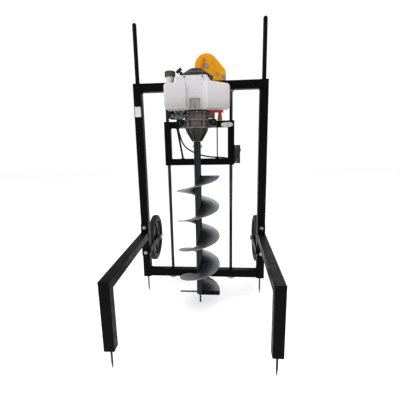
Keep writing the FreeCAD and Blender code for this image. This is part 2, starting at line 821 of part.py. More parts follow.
def crank_grip():
    along = Vec(math.cos(math.radians(crank_angle)), 0, math.sin(math.radians(crank_angle)))
    end = Vec(pinion_x, crank_y + crank_bar + side_gap + 0.7, pinion_z) + along * crank_length
    bore = grip_pin_radius + running_gap
    profile = [(bore, 0), (grip_radius * 0.8, 0), (grip_radius, 12), (grip_radius * 0.86, 45),
               (grip_radius * 0.95, grip_length - 10), (grip_radius * 0.7, grip_length), (bore, grip_length)]
    points = [end + Vec(radius, along_y, 0) for radius, along_y in profile]
    points.append(points[0])
    return Part.Face(Part.makePolygon(points)).revolve(end, AXIS_Y, 360)


def winch_pawl():
    # the pawl stands lifted off the ratchet wheel, and its lever hangs outside the front plate
    pivot = Vec(winch_drum_x + pawl_pivot_x, 0, winch_drum_z + pawl_pivot_z)
    turn = math.radians(pawl_engaged + pawl_lift)
    reach = Vec(math.cos(turn), 0, math.sin(turn))
    across = Vec(-reach.z, 0, reach.x)
    hook = [(0, 5.5), (14, 8.5), (24.6, 3.5), (24.3, -0.5), (23.5, -0.5), (12, 4.2), (5, -1.5), (0, -3)]
    points = [pivot + reach * along + across * out for along, out in hook]
    nose = polygon_xz([(p.x, p.z) for p in points], ratchet_y + side_gap, ratchet_face - 2 * side_gap)
    eye = rod(pivot + AXIS_Y * (ratchet_y + side_gap), AXIS_Y, 5.5, ratchet_face - 2 * side_gap)
    pin = rod(pivot + AXIS_Y * (winch_front_y - 6), AXIS_Y, pawl_pin_radius, ratchet_y + 1 - winch_front_y + 6)
    low = pivot + Vec(-9, 0, -36)
    lever_y = winch_front_y - 5
    side = Vec(4.2, 0, -1.0)
    lever = polygon_xz([((pivot + side).x, (pivot + side).z), ((low + side).x, (low + side).z),
                        ((low - side).x, (low - side).z), ((pivot - side).x, (pivot - side).z)], lever_y, 4)
    ends = [rod(pivot + AXIS_Y * lever_y, AXIS_Y, 6, 4), rod(low + AXIS_Y * lever_y, AXIS_Y, 5, 4)]
    return joined([nose, eye, pin, lever] + ends)


def winch_rope():
    foot_z = carriage_top_z + 19
    return rod(Vec(rope_x, rope_y, foot_z), AXIS_Z, rope_radius, winch_drum_z - foot_z)


# Carriage

def sleeves():
    shapes = []
    for x in rod_x:
        half = sleeve / 2
        shapes.append(square_tube(x - half, x + half, sleeve_y - half, sleeve_y + half, carriage_foot_z,
                                  carriage_top_z, sleeve_wall, "z"))
    return shapes


def carriage_bar(z0):
    return square_tube(rod_x[0] + sleeve / 2, rod_x[1] - sleeve / 2, sleeve_front_y, sleeve_back_y, z0, z0 + sleeve,
                       sleeve_wall, "x")


def slide_bushes():
    shapes = []
    half = sleeve / 2 - sleeve_wall
    for x in rod_x:
        for z in (carriage_foot_z, carriage_top_z - bush_length):
            block = box(x - half, x + half, sleeve_y - half, sleeve_y + half, z, z + bush_length)
            block = rounded_along(block, "z", tube_round - sleeve_wall)
            shapes.append(block.cut(rod(Vec(x, sleeve_y, z), AXIS_Z, rod_radius + running_gap, bush_length)))
    return shapes


def stay_rods():
    low = carriage_foot_z + sleeve
    high = carriage_top_z - sleeve
    thin = rod(Vec(stay_x, sleeve_y, low), AXIS_Z, stay_radius, high - low)
    foot = Vec(brace_foot_x, sleeve_y, low + stay_pad / 4)
    top = Vec(brace_top_x, sleeve_y, high - stay_pad / 4)
    brace = rod(foot, top - foot, brace_radius, (top - foot).Length)
    pads = []
    for x, z in ((stay_x, low), (brace_foot_x, low), (brace_top_x, high - stay_pad / 3)):
        pads.append(box(x - stay_pad, x + stay_pad, sleeve_y - stay_pad * 0.7, sleeve_y + stay_pad * 0.7, z,
                        z + stay_pad / 3))
    return [joined([thin, pads[0]]), joined([brace, pads[1], pads[2]])]


def rope_lug():
    lug = box(rope_x - 3, rope_x + 3, sleeve_back_y, rope_y + 9, carriage_top_z - 26, carriage_top_z - 2)
    socket = rod(Vec(rope_x, rope_y, carriage_top_z - 2), AXIS_Z, 5.5, 21)
    shell = ring(Vec(rope_x, rope_y, carriage_top_z + 9), AXIS_Z, 5.5, rope_radius, 10)
    return joined([lug, socket.cut(rod(Vec(rope_x, rope_y, carriage_top_z + 9), AXIS_Z, 5.5, 10)), shell])


# Engine, on the axis of the drill

engine_x = slide_x
mount_x = [engine_x - mount_spacing / 2, engine_x + mount_spacing / 2]
rubber_y = ear_front_y + ear_thickness
arm_y = rubber_y + rubber_length


def engine_arms():
    shapes = []
    half = arm / 2
    for x in mount_x:
        tube_shape = square_tube(x - half, x + half, arm_y + arm_wall * 2, sleeve_front_y, mount_z - half,
                                 mount_z + half, arm_wall, "y")
        plate = box(x - half, x + half, arm_y, arm_y + arm_wall * 2, mount_z - half, mount_z + half)
        plate = plate.cut(rod(Vec(x, arm_y, mount_z), AXIS_Y, mount_bolt_radius, arm_wall * 2))
        shapes.append(joined([tube_shape, plate]))
    return shapes


def rubber_mounts():
    shapes = []
    for x in mount_x:
        shapes.append(ring(Vec(x, rubber_y, mount_z), AXIS_Y, rubber_radius, mount_bolt_radius, rubber_length))
        shapes.append(ring(Vec(x, ear_front_y - rubber_cup, mount_z), AXIS_Y, rubber_radius - 2, mount_bolt_radius,
                           rubber_cup))
    return shapes


def mount_bolts():
    shapes = []
    for x in mount_x:
        start = Vec(x, ear_front_y - rubber_cup, mount_z)
        head = hexagon(start - AXIS_Y * 5.5, AXIS_Y, 13, 5.5)
        end_y = arm_y + arm_wall * 2
        shank = rod(start, AXIS_Y, mount_bolt_radius, end_y + 8 - start.y)
        nut = hexagon(Vec(x, end_y, mount_z), AXIS_Y, 13, 6.5)
        shapes.append(joined([head, shank, nut]))
    return shapes


def gearcase():
    bore = output_radius + running_gap
    cone_top = gearcase_top_z - gearcase_flange
    collar_z = gearcase_foot_z + collar_height
    body = turned([(bore, gearcase_foot_z), (collar_radius, gearcase_foot_z), (collar_radius, collar_z),
                   (gearcase_flange_radius - 6, cone_top), (gearcase_flange_radius, cone_top),
                   (gearcase_flange_radius, gearcase_top_z), (0.001, gearcase_top_z),
                   (0.001, gearcase_top_z - 18), (bore, gearcase_top_z - 18)], engine_x, drill_y)
    ribs = []
    for count in range(gearcase_ribs):
        points = [Vec(collar_radius - 4, 0, gearcase_foot_z + 3), Vec(collar_radius + 3, 0, gearcase_foot_z + 3),
                  Vec(gearcase_flange_radius - 1, 0, cone_top - 4), Vec(gearcase_flange_radius - 1, 0, cone_top + 1),
                  Vec(collar_radius - 4, 0, cone_top + 1)]
        points.append(points[0])
        rib = Part.Face(Part.makePolygon(points)).extrude(AXIS_Y * gearcase_rib)
        rib.translate(Vec(engine_x, drill_y - gearcase_rib / 2, 0))
        ribs.append(rib.rotated(Vec(engine_x, drill_y, 0), AXIS_Z, (count + 0.5) * 360 / gearcase_ribs))
    return joined([body] + ribs)


def crankcase():
    # a waisted casing: bottom flange, narrow drum, band, wide drum, and ribs that run from flange to top
    z0 = gearcase_top_z
    waist_top = z0 + crankcase_waist_height
    drum = crankcase_radius - 4
    body = turned([(0.001, z0), (crankcase_radius - 2, z0), (crankcase_radius - 2, z0 + crankcase_band),
                   (crankcase_waist, z0 + crankcase_band + 2), (crankcase_waist, waist_top - 2),
                   (crankcase_radius, waist_top), (crankcase_radius, waist_top + crankcase_band),
                   (drum, waist_top + crankcase_band + 1), (drum, crankcase_top_z), (0.001, crankcase_top_z)],
                  engine_x, drill_y)
    ear_z0 = mount_z - ear_radius
    ears = box(mount_x[0], mount_x[1], ear_front_y, rubber_y, ear_z0, ear_z0 + 2 * ear_radius)
    parts = [body, ears]
    for x in mount_x:
        parts.append(rod(Vec(x, ear_front_y, mount_z), AXIS_Y, ear_radius, ear_thickness))
    first_turn = math.degrees(math.asin(crankcase_rib / crankcase_radius))
    for turn in [-first_turn, first_turn] + [first_turn + step for step in crankcase_rib_turns[1:4]]:
        rib = box(engine_x - 3, engine_x + 3, drill_y - crankcase_radius, drill_y - crankcase_waist + 4, z0 + 1,
                  crankcase_top_z - 6)
        parts.append(rib.rotated(Vec(engine_x, drill_y, 0), AXIS_Z, turn))
    block_z = mount_z + ear_radius + 4
    parts.append(box(engine_x + 48, engine_x + 82, drill_y - 14, drill_y + 16, block_z, crankcase_top_z - 4))
    whole = joined(parts)
    for x in mount_x:
        whole = whole.cut(rod(Vec(x, ear_front_y, mount_z), AXIS_Y, mount_bolt_radius, ear_thickness))
    return whole


def starter_pull():
    tilt = math.radians(starter_pull_tilt)
    return Vec(-math.cos(tilt), 0, math.sin(tilt))


def fan_housing():
    # fan housing and starter cover, a turned shell with a domed top and slots
    wall = 3.0
    z0 = crankcase_top_z
    inner = fan_radius - wall
    body = turned([(0.001, z0), (fan_radius, z0), (fan_radius, starter_shoulder_z),
                   (fan_radius - 5, starter_shoulder_z + 7), (fan_radius - 16, starter_shoulder_z + 12),
                   (starter_top_radius + 8, starter_top_z - 5), (starter_top_radius, starter_top_z),
                   (0.001, starter_top_z)], engine_x, drill_y)
    hollow = turned([(0.001, z0 + 30), (inner, z0 + 30), (inner, starter_shoulder_z - 1),
                     (inner - 14, starter_shoulder_z + 8), (starter_top_radius + 5, starter_top_z - 8.5),
                     (starter_top_radius, starter_top_z - wall), (0.001, starter_top_z - wall)], engine_x, drill_y)
    shell = body.cut(hollow)
    pull = starter_pull()
    boss = rod(starter_middle - pull * 30, pull, 8, 19)
    shell = shell.fuse(boss)
    shell = shell.cut(rod(starter_middle - pull * (starter_stem + side_gap), pull, 3.5 + hole_gap, 10))
    step = 360 / starter_slots
    for count in range(starter_slots):
        slot = box(engine_x + starter_top_radius + 7, engine_x + fan_radius - 19, drill_y - 2.2, drill_y + 2.2,
                   starter_shoulder_z + 3, starter_top_z + 5)
        shell = shell.cut(slot.rotated(Vec(engine_x, drill_y, 0), AXIS_Z, (count + 0.5) * step))
    return shell


def cylinder():
    start_x = engine_x + crankcase_radius
    end_x = engine_x + cylinder_reach
    centre = Vec(start_x, cylinder_y, cylinder_z)
    parts = [rod(centre, AXIS_X, 22, end_x - start_x)]
    fins_x = engine_x + 60
    pitch = (end_x - fins_x) / fin_count
    for count in range(fin_count):
        x = fins_x + count * pitch
        parts.append(box(x, x + fin_thickness, cylinder_y - fin_half, cylinder_y + fin_half, cylinder_z - fin_half,
                         cylinder_z + fin_half))
    head = box(end_x - 2, end_x + 6, cylinder_y - 20, cylinder_y + 20, cylinder_z - 20, cylinder_z + 20)
    parts.append(head)
    parts.append(rod(Vec(end_x - 12, cylinder_y, cylinder_z), AXIS_Y, exhaust_radius, muffler_y - cylinder_y))
    around = rod(Vec(engine_x, drill_y, 0), AXIS_Z, fan_radius, frame_top_z + frame_height)
    return joined(parts).cut(around)


def shroud():
    gap = shroud_clearance
    half = fin_half + gap
    x0 = engine_x + 40
    x1 = engine_x + cylinder_reach + 12
    outer = box(x0, x1, cylinder_y - half, cylinder_y + half, crankcase_top_z + 2, cylinder_z + half)
    inner = box(x0 - 1, x1 - shroud_wall, cylinder_y - half + shroud_wall, cylinder_y + half + 1,
                crankcase_top_z - 1, cylinder_z + half - shroud_wall)
    shell = outer.cut(inner)
    around = rod(Vec(engine_x, drill_y, 0), AXIS_Z, fan_radius + side_gap, frame_top_z + frame_height)
    return shell.cut(around)


def tank_outline(inset):
    # the front outline of the tank as corners of (x, z, radius)
    left = tank_left_x + inset
    right = tank_right_x - inset
    foot = tank_foot_z + inset
    round_low = tank_round - inset
    round_top = tank_edge + 1 - inset
    return [(left, foot, round_low), (right, foot, round_low), (right, tank_right_z - inset, tank_edge + 3 - inset),
            (tank_step_x - inset / 2, tank_step_z - inset, 8), (tank_top_right - inset, tank_top_z - inset, round_top),
            (tank_top_left + inset, tank_top_z - inset, round_top), (tank_top_left - 3 + inset, tank_shoulder_z - inset, 5),
            (left, tank_shoulder_z - inset, tank_edge + 2 - inset)]


def tank_channel(left, right, depth, foot):
    # the upright recess in the front, with a steep left wall and a gentle right one; it fades out at its top
    front = tank_front_y
    slope = tank_channel_slope * depth / tank_channel_depth
    bevel = tank_channel_bevel * depth / tank_channel_depth
    plan = [(left - bevel / depth, front - 1), (left + bevel, front + depth), (right - slope, front + depth),
            (right + slope / depth, front - 1)]
    corners = [Vec(x, y, foot) for x, y in plan]
    corners.append(corners[0])
    block = Part.Face(Part.makePolygon(corners)).extrude(AXIS_Z * (tank_top_z - foot))
    rate = depth / (tank_channel_end_z - tank_channel_level_z)
    side = [(front - 1, foot), (front + depth + 1, foot), (front + depth + 1, tank_channel_level_z - 1 / rate),
            (front - 1, tank_channel_end_z + 1 / rate)]
    corners = [Vec(left - 20, y, z) for y, z in side]
    corners.append(corners[0])
    return block.common(Part.Face(Part.makePolygon(corners)).extrude(AXIS_X * (right - left + 60)))


def fuel_tank():
    front = tank_front_y
    depth = tank_rear_y - tank_front_y
    body = rounded_outline(tank_outline(0), front, depth)
    front_edges = [edge for edge in body.Edges if abs(edge.CenterOfMass.y - front) < 0.01]
    body = body.makeFillet(tank_edge, front_edges)
    rear_edges = [edge for edge in body.Edges if abs(edge.CenterOfMass.y - tank_rear_y) < 0.01]
    body = body.makeFillet(tank_rear_edge, rear_edges)
    around = rod(Vec(engine_x, drill_y, 0), AXIS_Z, fan_radius, frame_top_z + frame_height)
    around_inner = rod(Vec(engine_x, drill_y, 0), AXIS_Z, fan_radius + tank_wall, frame_top_z + frame_height)
    foot = tank_foot_z - tank_wall
    channel = tank_channel(tank_channel_left, tank_channel_right, tank_channel_depth, foot)
    body = body.cut(around).cut(channel)
    notch = polygon_xz([(tank_notch_x - tank_notch, tank_top_z + 1), (tank_notch_x, tank_top_z - tank_notch),
                        (tank_notch_x + tank_notch, tank_top_z + 1)], front - 1, depth + 2)
    body = body.cut(notch)
    pocket_y = front + tank_channel_depth
    pocket = box(tank_pocket_left, tank_pocket_right, pocket_y - tank_wall, pocket_y + tank_pocket_depth, foot,
                 tank_pocket_top_z)
    body = body.cut(pocket)
    neck_foot = tank_shoulder_z - 2 * tank_wall
    neck = rod(Vec(neck_x, neck_y, neck_foot), AXIS_Z, neck_radius, neck_top_z - neck_foot)
    flare = Part.makeCone(neck_flare, neck_radius, neck_flare_z - neck_foot, Vec(neck_x, neck_y, neck_foot), AXIS_Z)
    body = joined([body, neck, flare])
    inner = rounded_outline(tank_outline(tank_wall), front + 2 * tank_wall, depth - 3 * tank_wall)
    channel_inner = tank_channel(tank_channel_left - tank_wall, tank_channel_right + tank_wall,
                                 tank_channel_depth + tank_wall, foot)
    pocket_inner = box(tank_pocket_left - tank_wall, tank_pocket_right + tank_wall, pocket_y,
                       pocket_y + tank_pocket_depth + tank_wall, foot, tank_pocket_top_z + tank_wall)
    inner = inner.cut(around_inner).cut(channel_inner).cut(pocket_inner)
    opening = rod(Vec(neck_x, neck_y, neck_foot - tank_wall), AXIS_Z, neck_radius - tank_wall,
                  neck_top_z - neck_foot + 2 * tank_wall)
    return body.cut(inner).cut(opening)


def fuel_cap():
    centre = Vec(neck_x, neck_y, cap_foot_z)
    body = rod(centre, AXIS_Z, cap_radius - 1, cap_top_z - cap_foot_z - 2)
    lid = Part.makeCone(cap_radius - 1, cap_radius - 4, 2, centre + AXIS_Z * (cap_top_z - cap_foot_z - 2), AXIS_Z)
    parts = [body, lid]
    for count in range(cap_ribs):
        rib = box(neck_x + cap_radius - 3, neck_x + cap_radius, neck_y - 1.2, neck_y + 1.2, cap_foot_z, cap_top_z - 3)
        parts.append(rib.rotated(Vec(neck_x, neck_y, 0), AXIS_Z, count * 360 / cap_ribs))
    whole = joined(parts)
    return whole.cut(rod(centre - AXIS_Z, AXIS_Z, neck_radius + running_gap, neck_top_z + side_gap - cap_foot_z + 1))


def carburettor():
    half = carburettor_size / 2
    x1 = engine_x - crankcase_radius
    x0 = x1 - carburettor_size
    middle_z = carburettor_foot_z + carburettor_height / 2
    body = box(x0, x1, carburettor_y - half, carburettor_y + half, carburettor_foot_z,
               carburettor_foot_z + carburettor_height)
    inlet = rod(Vec(x1, carburettor_y, middle_z), AXIS_X, 12, crankcase_radius)
    inlet = inlet.cut(rod(Vec(engine_x, drill_y, 0), AXIS_Z, crankcase_radius, frame_top_z))
    inlet = inlet.common(box(x1 - 1, engine_x - crankcase_rib - 3, drill_y - 80, drill_y, 0, frame_top_z))
    bowl = rod(Vec(x0 + 22, carburettor_y, carburettor_foot_z - 6), AXIS_Z, 9, 8)
    elbow = rod(Vec(filter_wall_x, carburettor_y, middle_z), AXIS_X, 11, x0 - filter_wall_x + 1)
    return joined([body, inlet, bowl, elbow])


def air_filter():
    x1 = engine_x - fan_radius - 3
    top_z = filter_foot_z + filter_height
    case = box(filter_left_x, x1, drill_y - filter_front, drill_y + filter_back, filter_foot_z, top_z)
    case = rounded_along(rounded_along(case, "x", case_round), "z", case_round * 0.6)
    case = case.cut(box(filter_wall_x, x1 + 1, drill_y - filter_front - 1, drill_y + filter_step, filter_foot_z - 1,
                        crankcase_top_z + 1))
    duct = box(filter_left_x, filter_wall_x, carburettor_y - 13, drill_y - filter_front + case_round, filter_foot_z,
               crankcase_top_z - 1)
    knob = rod(Vec(filter_left_x - 5, drill_y + filter_back / 2, top_z - filter_height / 3), AXIS_X, 8, 6)
    return joined([case, duct, knob])


def muffler():
    x0 = engine_x + 84
    shape = box(x0, x0 + 40, muffler_y, muffler_y + 34, cylinder_z - 32, cylinder_z + 30)
    shape = rounded_along(shape, "x", case_round)
    seam = box(x0 - 1.5, x0 + 41.5, muffler_y + 16, muffler_y + 19, cylinder_z - 34, cylinder_z + 32)
    outlet = rod(Vec(x0 + 38, muffler_y + 24, cylinder_z + 12), AXIS_X, 6, 9)
    outlet = outlet.cut(rod(Vec(x0 + 41, muffler_y + 24, cylinder_z + 12), AXIS_X, 4.5, 9))
    return joined([shape, rounded_along(seam, "y", case_round), outlet])


# Drill

def output_shaft():
    upper = rod(Vec(engine_x, drill_y, gearcase_foot_z - side_gap), AXIS_Z, output_radius,
                gearcase_top_z - 18.5 - gearcase_foot_z + side_gap)
    spigot = rod(Vec(engine_x, drill_y, gearcase_foot_z - 2 * side_gap - spigot_length), AXIS_Z, spigot_radius,
                 spigot_length)
    neck = rod(Vec(engine_x, drill_y, gearcase_foot_z - 1.0), AXIS_Z, output_radius, 2)
    shaft = joined([upper, spigot, neck])
    pin_z = gearcase_foot_z - drive_pin_drop
    return shaft.cut(rod(Vec(engine_x - 30, drill_y, pin_z), AXIS_X, drive_pin_radius, 60))


def drill_tube():
    top_z = gearcase_foot_z - 1
    length = top_z - drill_tube_foot_z
    inner = drill_tube_radius - drill_tube_wall
    tube_shape = ring(Vec(engine_x, drill_y, drill_tube_foot_z), AXIS_Z, drill_tube_radius, inner, length)
    pin_z = gearcase_foot_z - drive_pin_drop
    return tube_shape.cut(rod(Vec(engine_x - 30, drill_y, pin_z), AXIS_X, drive_pin_radius, 60))


def drive_pin():
    pin_z = gearcase_foot_z - drive_pin_drop
    reach = drill_tube_radius + 4
    shank = rod(Vec(engine_x - reach, drill_y, pin_z), AXIS_X, drive_pin_radius, 2 * reach)
    head = rod(Vec(engine_x + drill_tube_radius + 0.5, drill_y, pin_z), AXIS_X, drive_pin_radius + 2.5, 5)
    return joined([shank, head])


def flights():
    return [helical_sheet(flight_foot_z + count * flight_pitch, flight_pitch, drill_tube_radius, flight_radius,
                          flight_thickness, flight_thickness) for count in range(flight_turns)]


def cutting_head():
    hub_z = drill_tube_foot_z - 12
    hub = rod(Vec(engine_x, drill_y, hub_z), AXIS_Z, drill_tube_radius, 12)
    collar = Part.makeCone(pilot_radius, drill_tube_radius, 4, Vec(engine_x, drill_y, hub_z - 4), AXIS_Z)
    core_z = drill_tip_z + 5
    core = rod(Vec(engine_x, drill_y, core_z), AXIS_Z, pilot_core, hub_z - core_z)
    tip = Part.makeCone(0.8, pilot_core, core_z - drill_tip_z, Vec(engine_x, drill_y, drill_tip_z), AXIS_Z)
    screw = joined([hub, collar, core, tip])
    thread_z = hub_z - 4 - pilot_pitch * pilot_turns - 4
    shapes = [screw]
    for count in range(pilot_turns):
        shapes.append(helical_sheet(thread_z + count * pilot_pitch, pilot_pitch, pilot_core, pilot_radius, 3.6, 1.2))
    across = blade_width * 0.6
    for side in (0, 180):
        points = [Vec(4, -across, 0), Vec(flight_radius - 6, -across, 0), Vec(flight_radius, -across + 6, 0),
                  Vec(flight_radius, blade_width - across, 0), Vec(4, blade_width - across, 0)]
        points.append(points[0])
        blade = Part.Face(Part.makePolygon(points)).extrude(AXIS_Z * blade_thickness)
        blade.rotate(Vec(0, 0, 0), AXIS_X, blade_tilt)
        blade.translate(Vec(engine_x, drill_y, flight_foot_z - blade_thickness - 2.2))
        blade = blade.rotated(Vec(engine_x, drill_y, 0), AXIS_Z, side)
        shapes.append(blade.cut(screw).cut(rod(Vec(engine_x, drill_y, 0), AXIS_Z, drill_tube_radius, frame_height)))
    return shapes


# Controls

control_x = rod_x[1] + sleeve / 2
control_y = control_front_y
lever_x = control_x + control_width - 10
lever_y = control_y + control_depth / 2


def throttle_housing():
    outer = box(control_x, control_x + control_width, control_y, control_y + control_depth, control_foot_z,
                control_foot_z + control_height)
    upright = []
    for edge in outer.Edges:
        box_of_edge = edge.BoundBox
        if box_of_edge.ZLength > control_height - 1 and box_of_edge.XMin > control_x + 1:
            upright.append(edge)
    outer = outer.makeFillet(6, upright)
    half = lever_thickness / 2 + side_gap
    slot = box(lever_x - 12, control_x + control_width + 1, lever_y - half, lever_y + half, lever_pivot_z - 10,
               control_foot_z + control_height + 1)
    shell = outer.cut(slot)
    pin = rod(Vec(lever_x, lever_y - half - 3, lever_pivot_z), AXIS_Y, lever_pin_radius, 2 * half + 6)
    hole = rod(Vec(control_x + 14, control_y - 1, button_z), AXIS_Y, button_radius + running_gap, 13)
    return joined([shell.cut(hole), pin])


def throttle_lever():
    half = lever_thickness / 2
    eye = rod(Vec(lever_x, lever_y - half, lever_pivot_z), AXIS_Y, 6, lever_thickness)
    points = [(lever_x - 5, lever_pivot_z), (lever_x - 3, lever_pivot_z + 30), (lever_x + 12, lever_pivot_z + 26),
              (lever_x + 14, lever_pivot_z + 14), (lever_x + 6, lever_pivot_z)]
    paddle = polygon_xz(points, lever_y - half, lever_thickness)
    whole = joined([eye, paddle])
    return whole.cut(rod(Vec(lever_x, lever_y - half, lever_pivot_z), AXIS_Y, lever_pin_radius + running_gap,
                         lever_thickness))


def stop_button():
    return rod(Vec(control_x + 14, control_y - 3, button_z), AXIS_Y, button_radius, 12)


# Throttle cable: chosen points from the carburettor, behind the drill, to the control box
cable_route = [(-91, -133, 912), (-91, -133, 882), (-88, -122, 858), (-86, -94, 838), (-85, -65, 820),
               (-80, -38, 801), (-70, -23, 785), (-52, -18, 772), (-27, -17, 758), (1, -17, 748), (30, -17, 741),
               (60, -17, 737), (90, -17, 736), (118, -14, 733), (140, -8, 728), (154, -6, 726), (166, -6, 726)]


def rounded_route(points):
    # straight runs joined by tangent arcs; each arc takes 0.45 of its shorter run
    corners = [Vec(*point) for point in points]
    edges = []
    start = corners[0]
    radii = []
    for before, corner, after in zip(corners[:-2], corners[1:-1], corners[2:]):
        back = (before - corner).normalize()
        ahead = (after - corner).normalize()
        take = 0.45 * min((before - corner).Length, (after - corner).Length)
        turn = math.pi - back.getAngle(ahead)
        radii.append(take / math.tan(turn / 2))
        first = corner + back * take
        last = corner + ahead * take
        inward = (back + ahead).normalize()
        middle = corner + inward * (take / math.cos((math.pi - turn) / 2) - take * math.tan((math.pi - turn) / 2))
        edges.append(Part.LineSegment(start, first).toShape())
        edges.append(Part.Arc(first, middle, last).toShape())
        start = last
    edges.append(Part.LineSegment(start, corners[-1]).toShape())
    return Part.Wire(edges), radii


def throttle_cable():
    wire, radii = rounded_route(cable_route)
    direction = wire.Edges[0].tangentAt(wire.Edges[0].FirstParameter)
    circle = Part.Wire(Part.makeCircle(cable_radius, Vec(*cable_route[0]), direction))
    pipe = wire.makePipeShell([circle], True, False)
    wanted = math.pi * cable_radius ** 2 * wire.Length
    print("cable", round(wire.Length, 1), "least radius", round(min(radii), 1), "volume share",
          round(pipe.Volume / wanted, 4))
    return pipe


def starter_handle():
    # a cross grip on a short stem that comes out of the starter cover
    pull = starter_pull()
    across = Vec(pull.z, 0, -pull.x)
    half = starter_grip_half
    bar = rod(starter_middle - across * half, across, starter_grip_radius, 2 * half)
    edges = [edge for edge in bar.Edges if edge.Closed]
    bar = bar.makeFillet(starter_grip_radius * 0.6, edges)
    stem = rod(starter_middle - pull * starter_stem, pull, 3.5, starter_stem)
    return joined([bar, stem])


os.makedirs("parts", exist_ok=True)

save("frame_posts", [post(-1), post(1)])
save("top_rail", [rail(frame_top_z - tube, tube / 2)])
save("bottom_rail", [rail(frame_foot_z + end_plate, tube + 2)])
save("end_plates", end_plates())
save("push_handles", [push_handle(-1), push_handle(1)])
save("guide_rods", [guide_rod(x) for x in rod_x])
save("rod_fixings", rod_fixings())
beam = leg_beam()
flange_plate = leg_flange()
save("leg_beams", [beam, mirrored(beam), flange_plate, mirrored(flange_plate)])
upright = leg_upright()
save("leg_uprights", [upright, mirrored(upright)])
save("leg_bolts", leg_bolts())
save("ground_spikes", ground_spikes())
carrier = axle_carrier()
save("axle_carriers", [carrier, mirrored(carrier)])
fixings = [axle_bolt()] + axle_nuts()
save("axle_fixings", fixings + [mirrored(fixing) for fixing in fixings])
hub = wheel_hub()
rubber = tyre()
save("right_wheel", [hub])
save("left_wheel", [mirrored(hub)])
save("right_tyre", [rubber])
save("left_tyre", [mirrored(rubber)])

save("winch_front_plate", [winch_side(winch_front_y)])
save("winch_rear_plate", [winch_side(winch_rear_y)])
save("winch_base", winch_base())
save("winch_bolts", winch_bolts())
save("drum_axle", [drum_axle()])
save("rope_drum", [rope_drum()])
save("drum_gear", [drum_gear()])
save("ratchet_wheel", [ratchet_wheel()])
save("rope_windings", [rope_windings()])
save("pinion_shaft", [pinion_shaft()])
save("crank_arm", crank_arm())
save("crank_grip", [crank_grip()])
save("winch_pawl", [winch_pawl()])
save("winch_rope", [winch_rope()])

save("carriage_sleeves", sleeves())
save("carriage_top_bar", [carriage_bar(carriage_top_z - sleeve)])
save("carriage_bottom_bar", [carriage_bar(carriage_foot_z)])
save("slide_bushes", slide_bushes())
save("stay_rods", stay_rods())
save("rope_lug", [rope_lug()])
save("engine_arms", engine_arms())
save("rubber_mounts", rubber_mounts())
save("mount_bolts", mount_bolts())
save("gearcase", [gearcase()])
save("crankcase", [crankcase()])
save("starter_housing", [fan_housing()])
save("cylinder", [cylinder()])
save("cylinder_shroud", [shroud()])
save("muffler", [muffler()])
save("carburettor", [carburettor()])
save("air_filter", [air_filter()])
save("fuel_tank", [fuel_tank()])
save("throttle_housing", [throttle_housing()])
save("throttle_cable", [throttle_cable()])

save("output_shaft", [output_shaft()])
save("drill_tube", [drill_tube()])
save("drive_pin", [drive_pin()])
save("drill_flights", flights())
save("cutting_head", cutting_head())
save("throttle_lever", [throttle_lever()])
save("stop_button", [stop_button()])
save("starter_handle", [starter_handle()])
save("fuel_cap", [fuel_cap()])
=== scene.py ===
import json
import math

import bmesh
import bpy
import numpy as np
from mathutils import Matrix, Vector


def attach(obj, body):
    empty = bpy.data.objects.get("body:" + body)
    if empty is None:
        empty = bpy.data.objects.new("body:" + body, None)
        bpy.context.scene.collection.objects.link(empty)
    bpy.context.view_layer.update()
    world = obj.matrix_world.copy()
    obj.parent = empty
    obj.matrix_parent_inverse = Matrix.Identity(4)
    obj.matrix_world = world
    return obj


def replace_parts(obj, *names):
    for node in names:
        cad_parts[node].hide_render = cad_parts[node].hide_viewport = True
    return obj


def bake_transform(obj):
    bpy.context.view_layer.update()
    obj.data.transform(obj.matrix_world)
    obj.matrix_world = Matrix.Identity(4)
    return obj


# Trolley earth auger: camera, light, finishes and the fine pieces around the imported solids. Metres.
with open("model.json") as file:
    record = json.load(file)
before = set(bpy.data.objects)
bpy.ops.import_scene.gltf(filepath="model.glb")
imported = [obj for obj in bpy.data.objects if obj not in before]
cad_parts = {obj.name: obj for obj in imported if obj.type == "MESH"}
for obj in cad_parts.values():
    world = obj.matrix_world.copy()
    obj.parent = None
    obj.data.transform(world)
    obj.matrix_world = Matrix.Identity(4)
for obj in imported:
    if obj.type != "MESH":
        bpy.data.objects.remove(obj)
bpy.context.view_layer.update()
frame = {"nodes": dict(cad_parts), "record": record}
nodes = frame["nodes"]
print("frame loaded:", len(nodes), "nodes")

# Camera of the photograph, fitted to the frame, the legs and the spikes
photoCamera = {
    "place": (0.1112, -1.3157, 0.7957),
    "yaw": -0.0838,
    "pitch": 0.1918,
    "roll": 0.0192,
    "lens": 25.445,
    "sensor": 36,
    "clip": (0.05, 60),
}


def aimCamera(view):
    # forward from yaw and pitch, then the picture's right and down are turned by the roll
    yaw, pitch, roll = view["yaw"], view["pitch"], view["roll"]
    forward = Vector((math.sin(yaw) * math.cos(pitch), math.cos(yaw) * math.cos(pitch), -math.sin(pitch)))
    level = Vector((math.cos(yaw), -math.sin(yaw), 0))
    down = forward.cross(level)
    right = math.cos(roll) * level + math.sin(roll) * down
    up = math.sin(roll) * level - math.cos(roll) * down
    turn = Matrix((right, up, -forward)).transposed().to_4x4()
    data = bpy.data.cameras.new("photoCamera")
    data.lens = view["lens"]
    data.sensor_width = view["sensor"]
    data.clip_start, data.clip_end = view["clip"]
    camera = bpy.data.objects.new("photoCamera", data)
    camera.matrix_world = Matrix.Translation(view["place"]) @ turn
    bpy.context.scene.collection.objects.link(camera)
    bpy.context.scene.camera = camera


aimCamera(photoCamera)

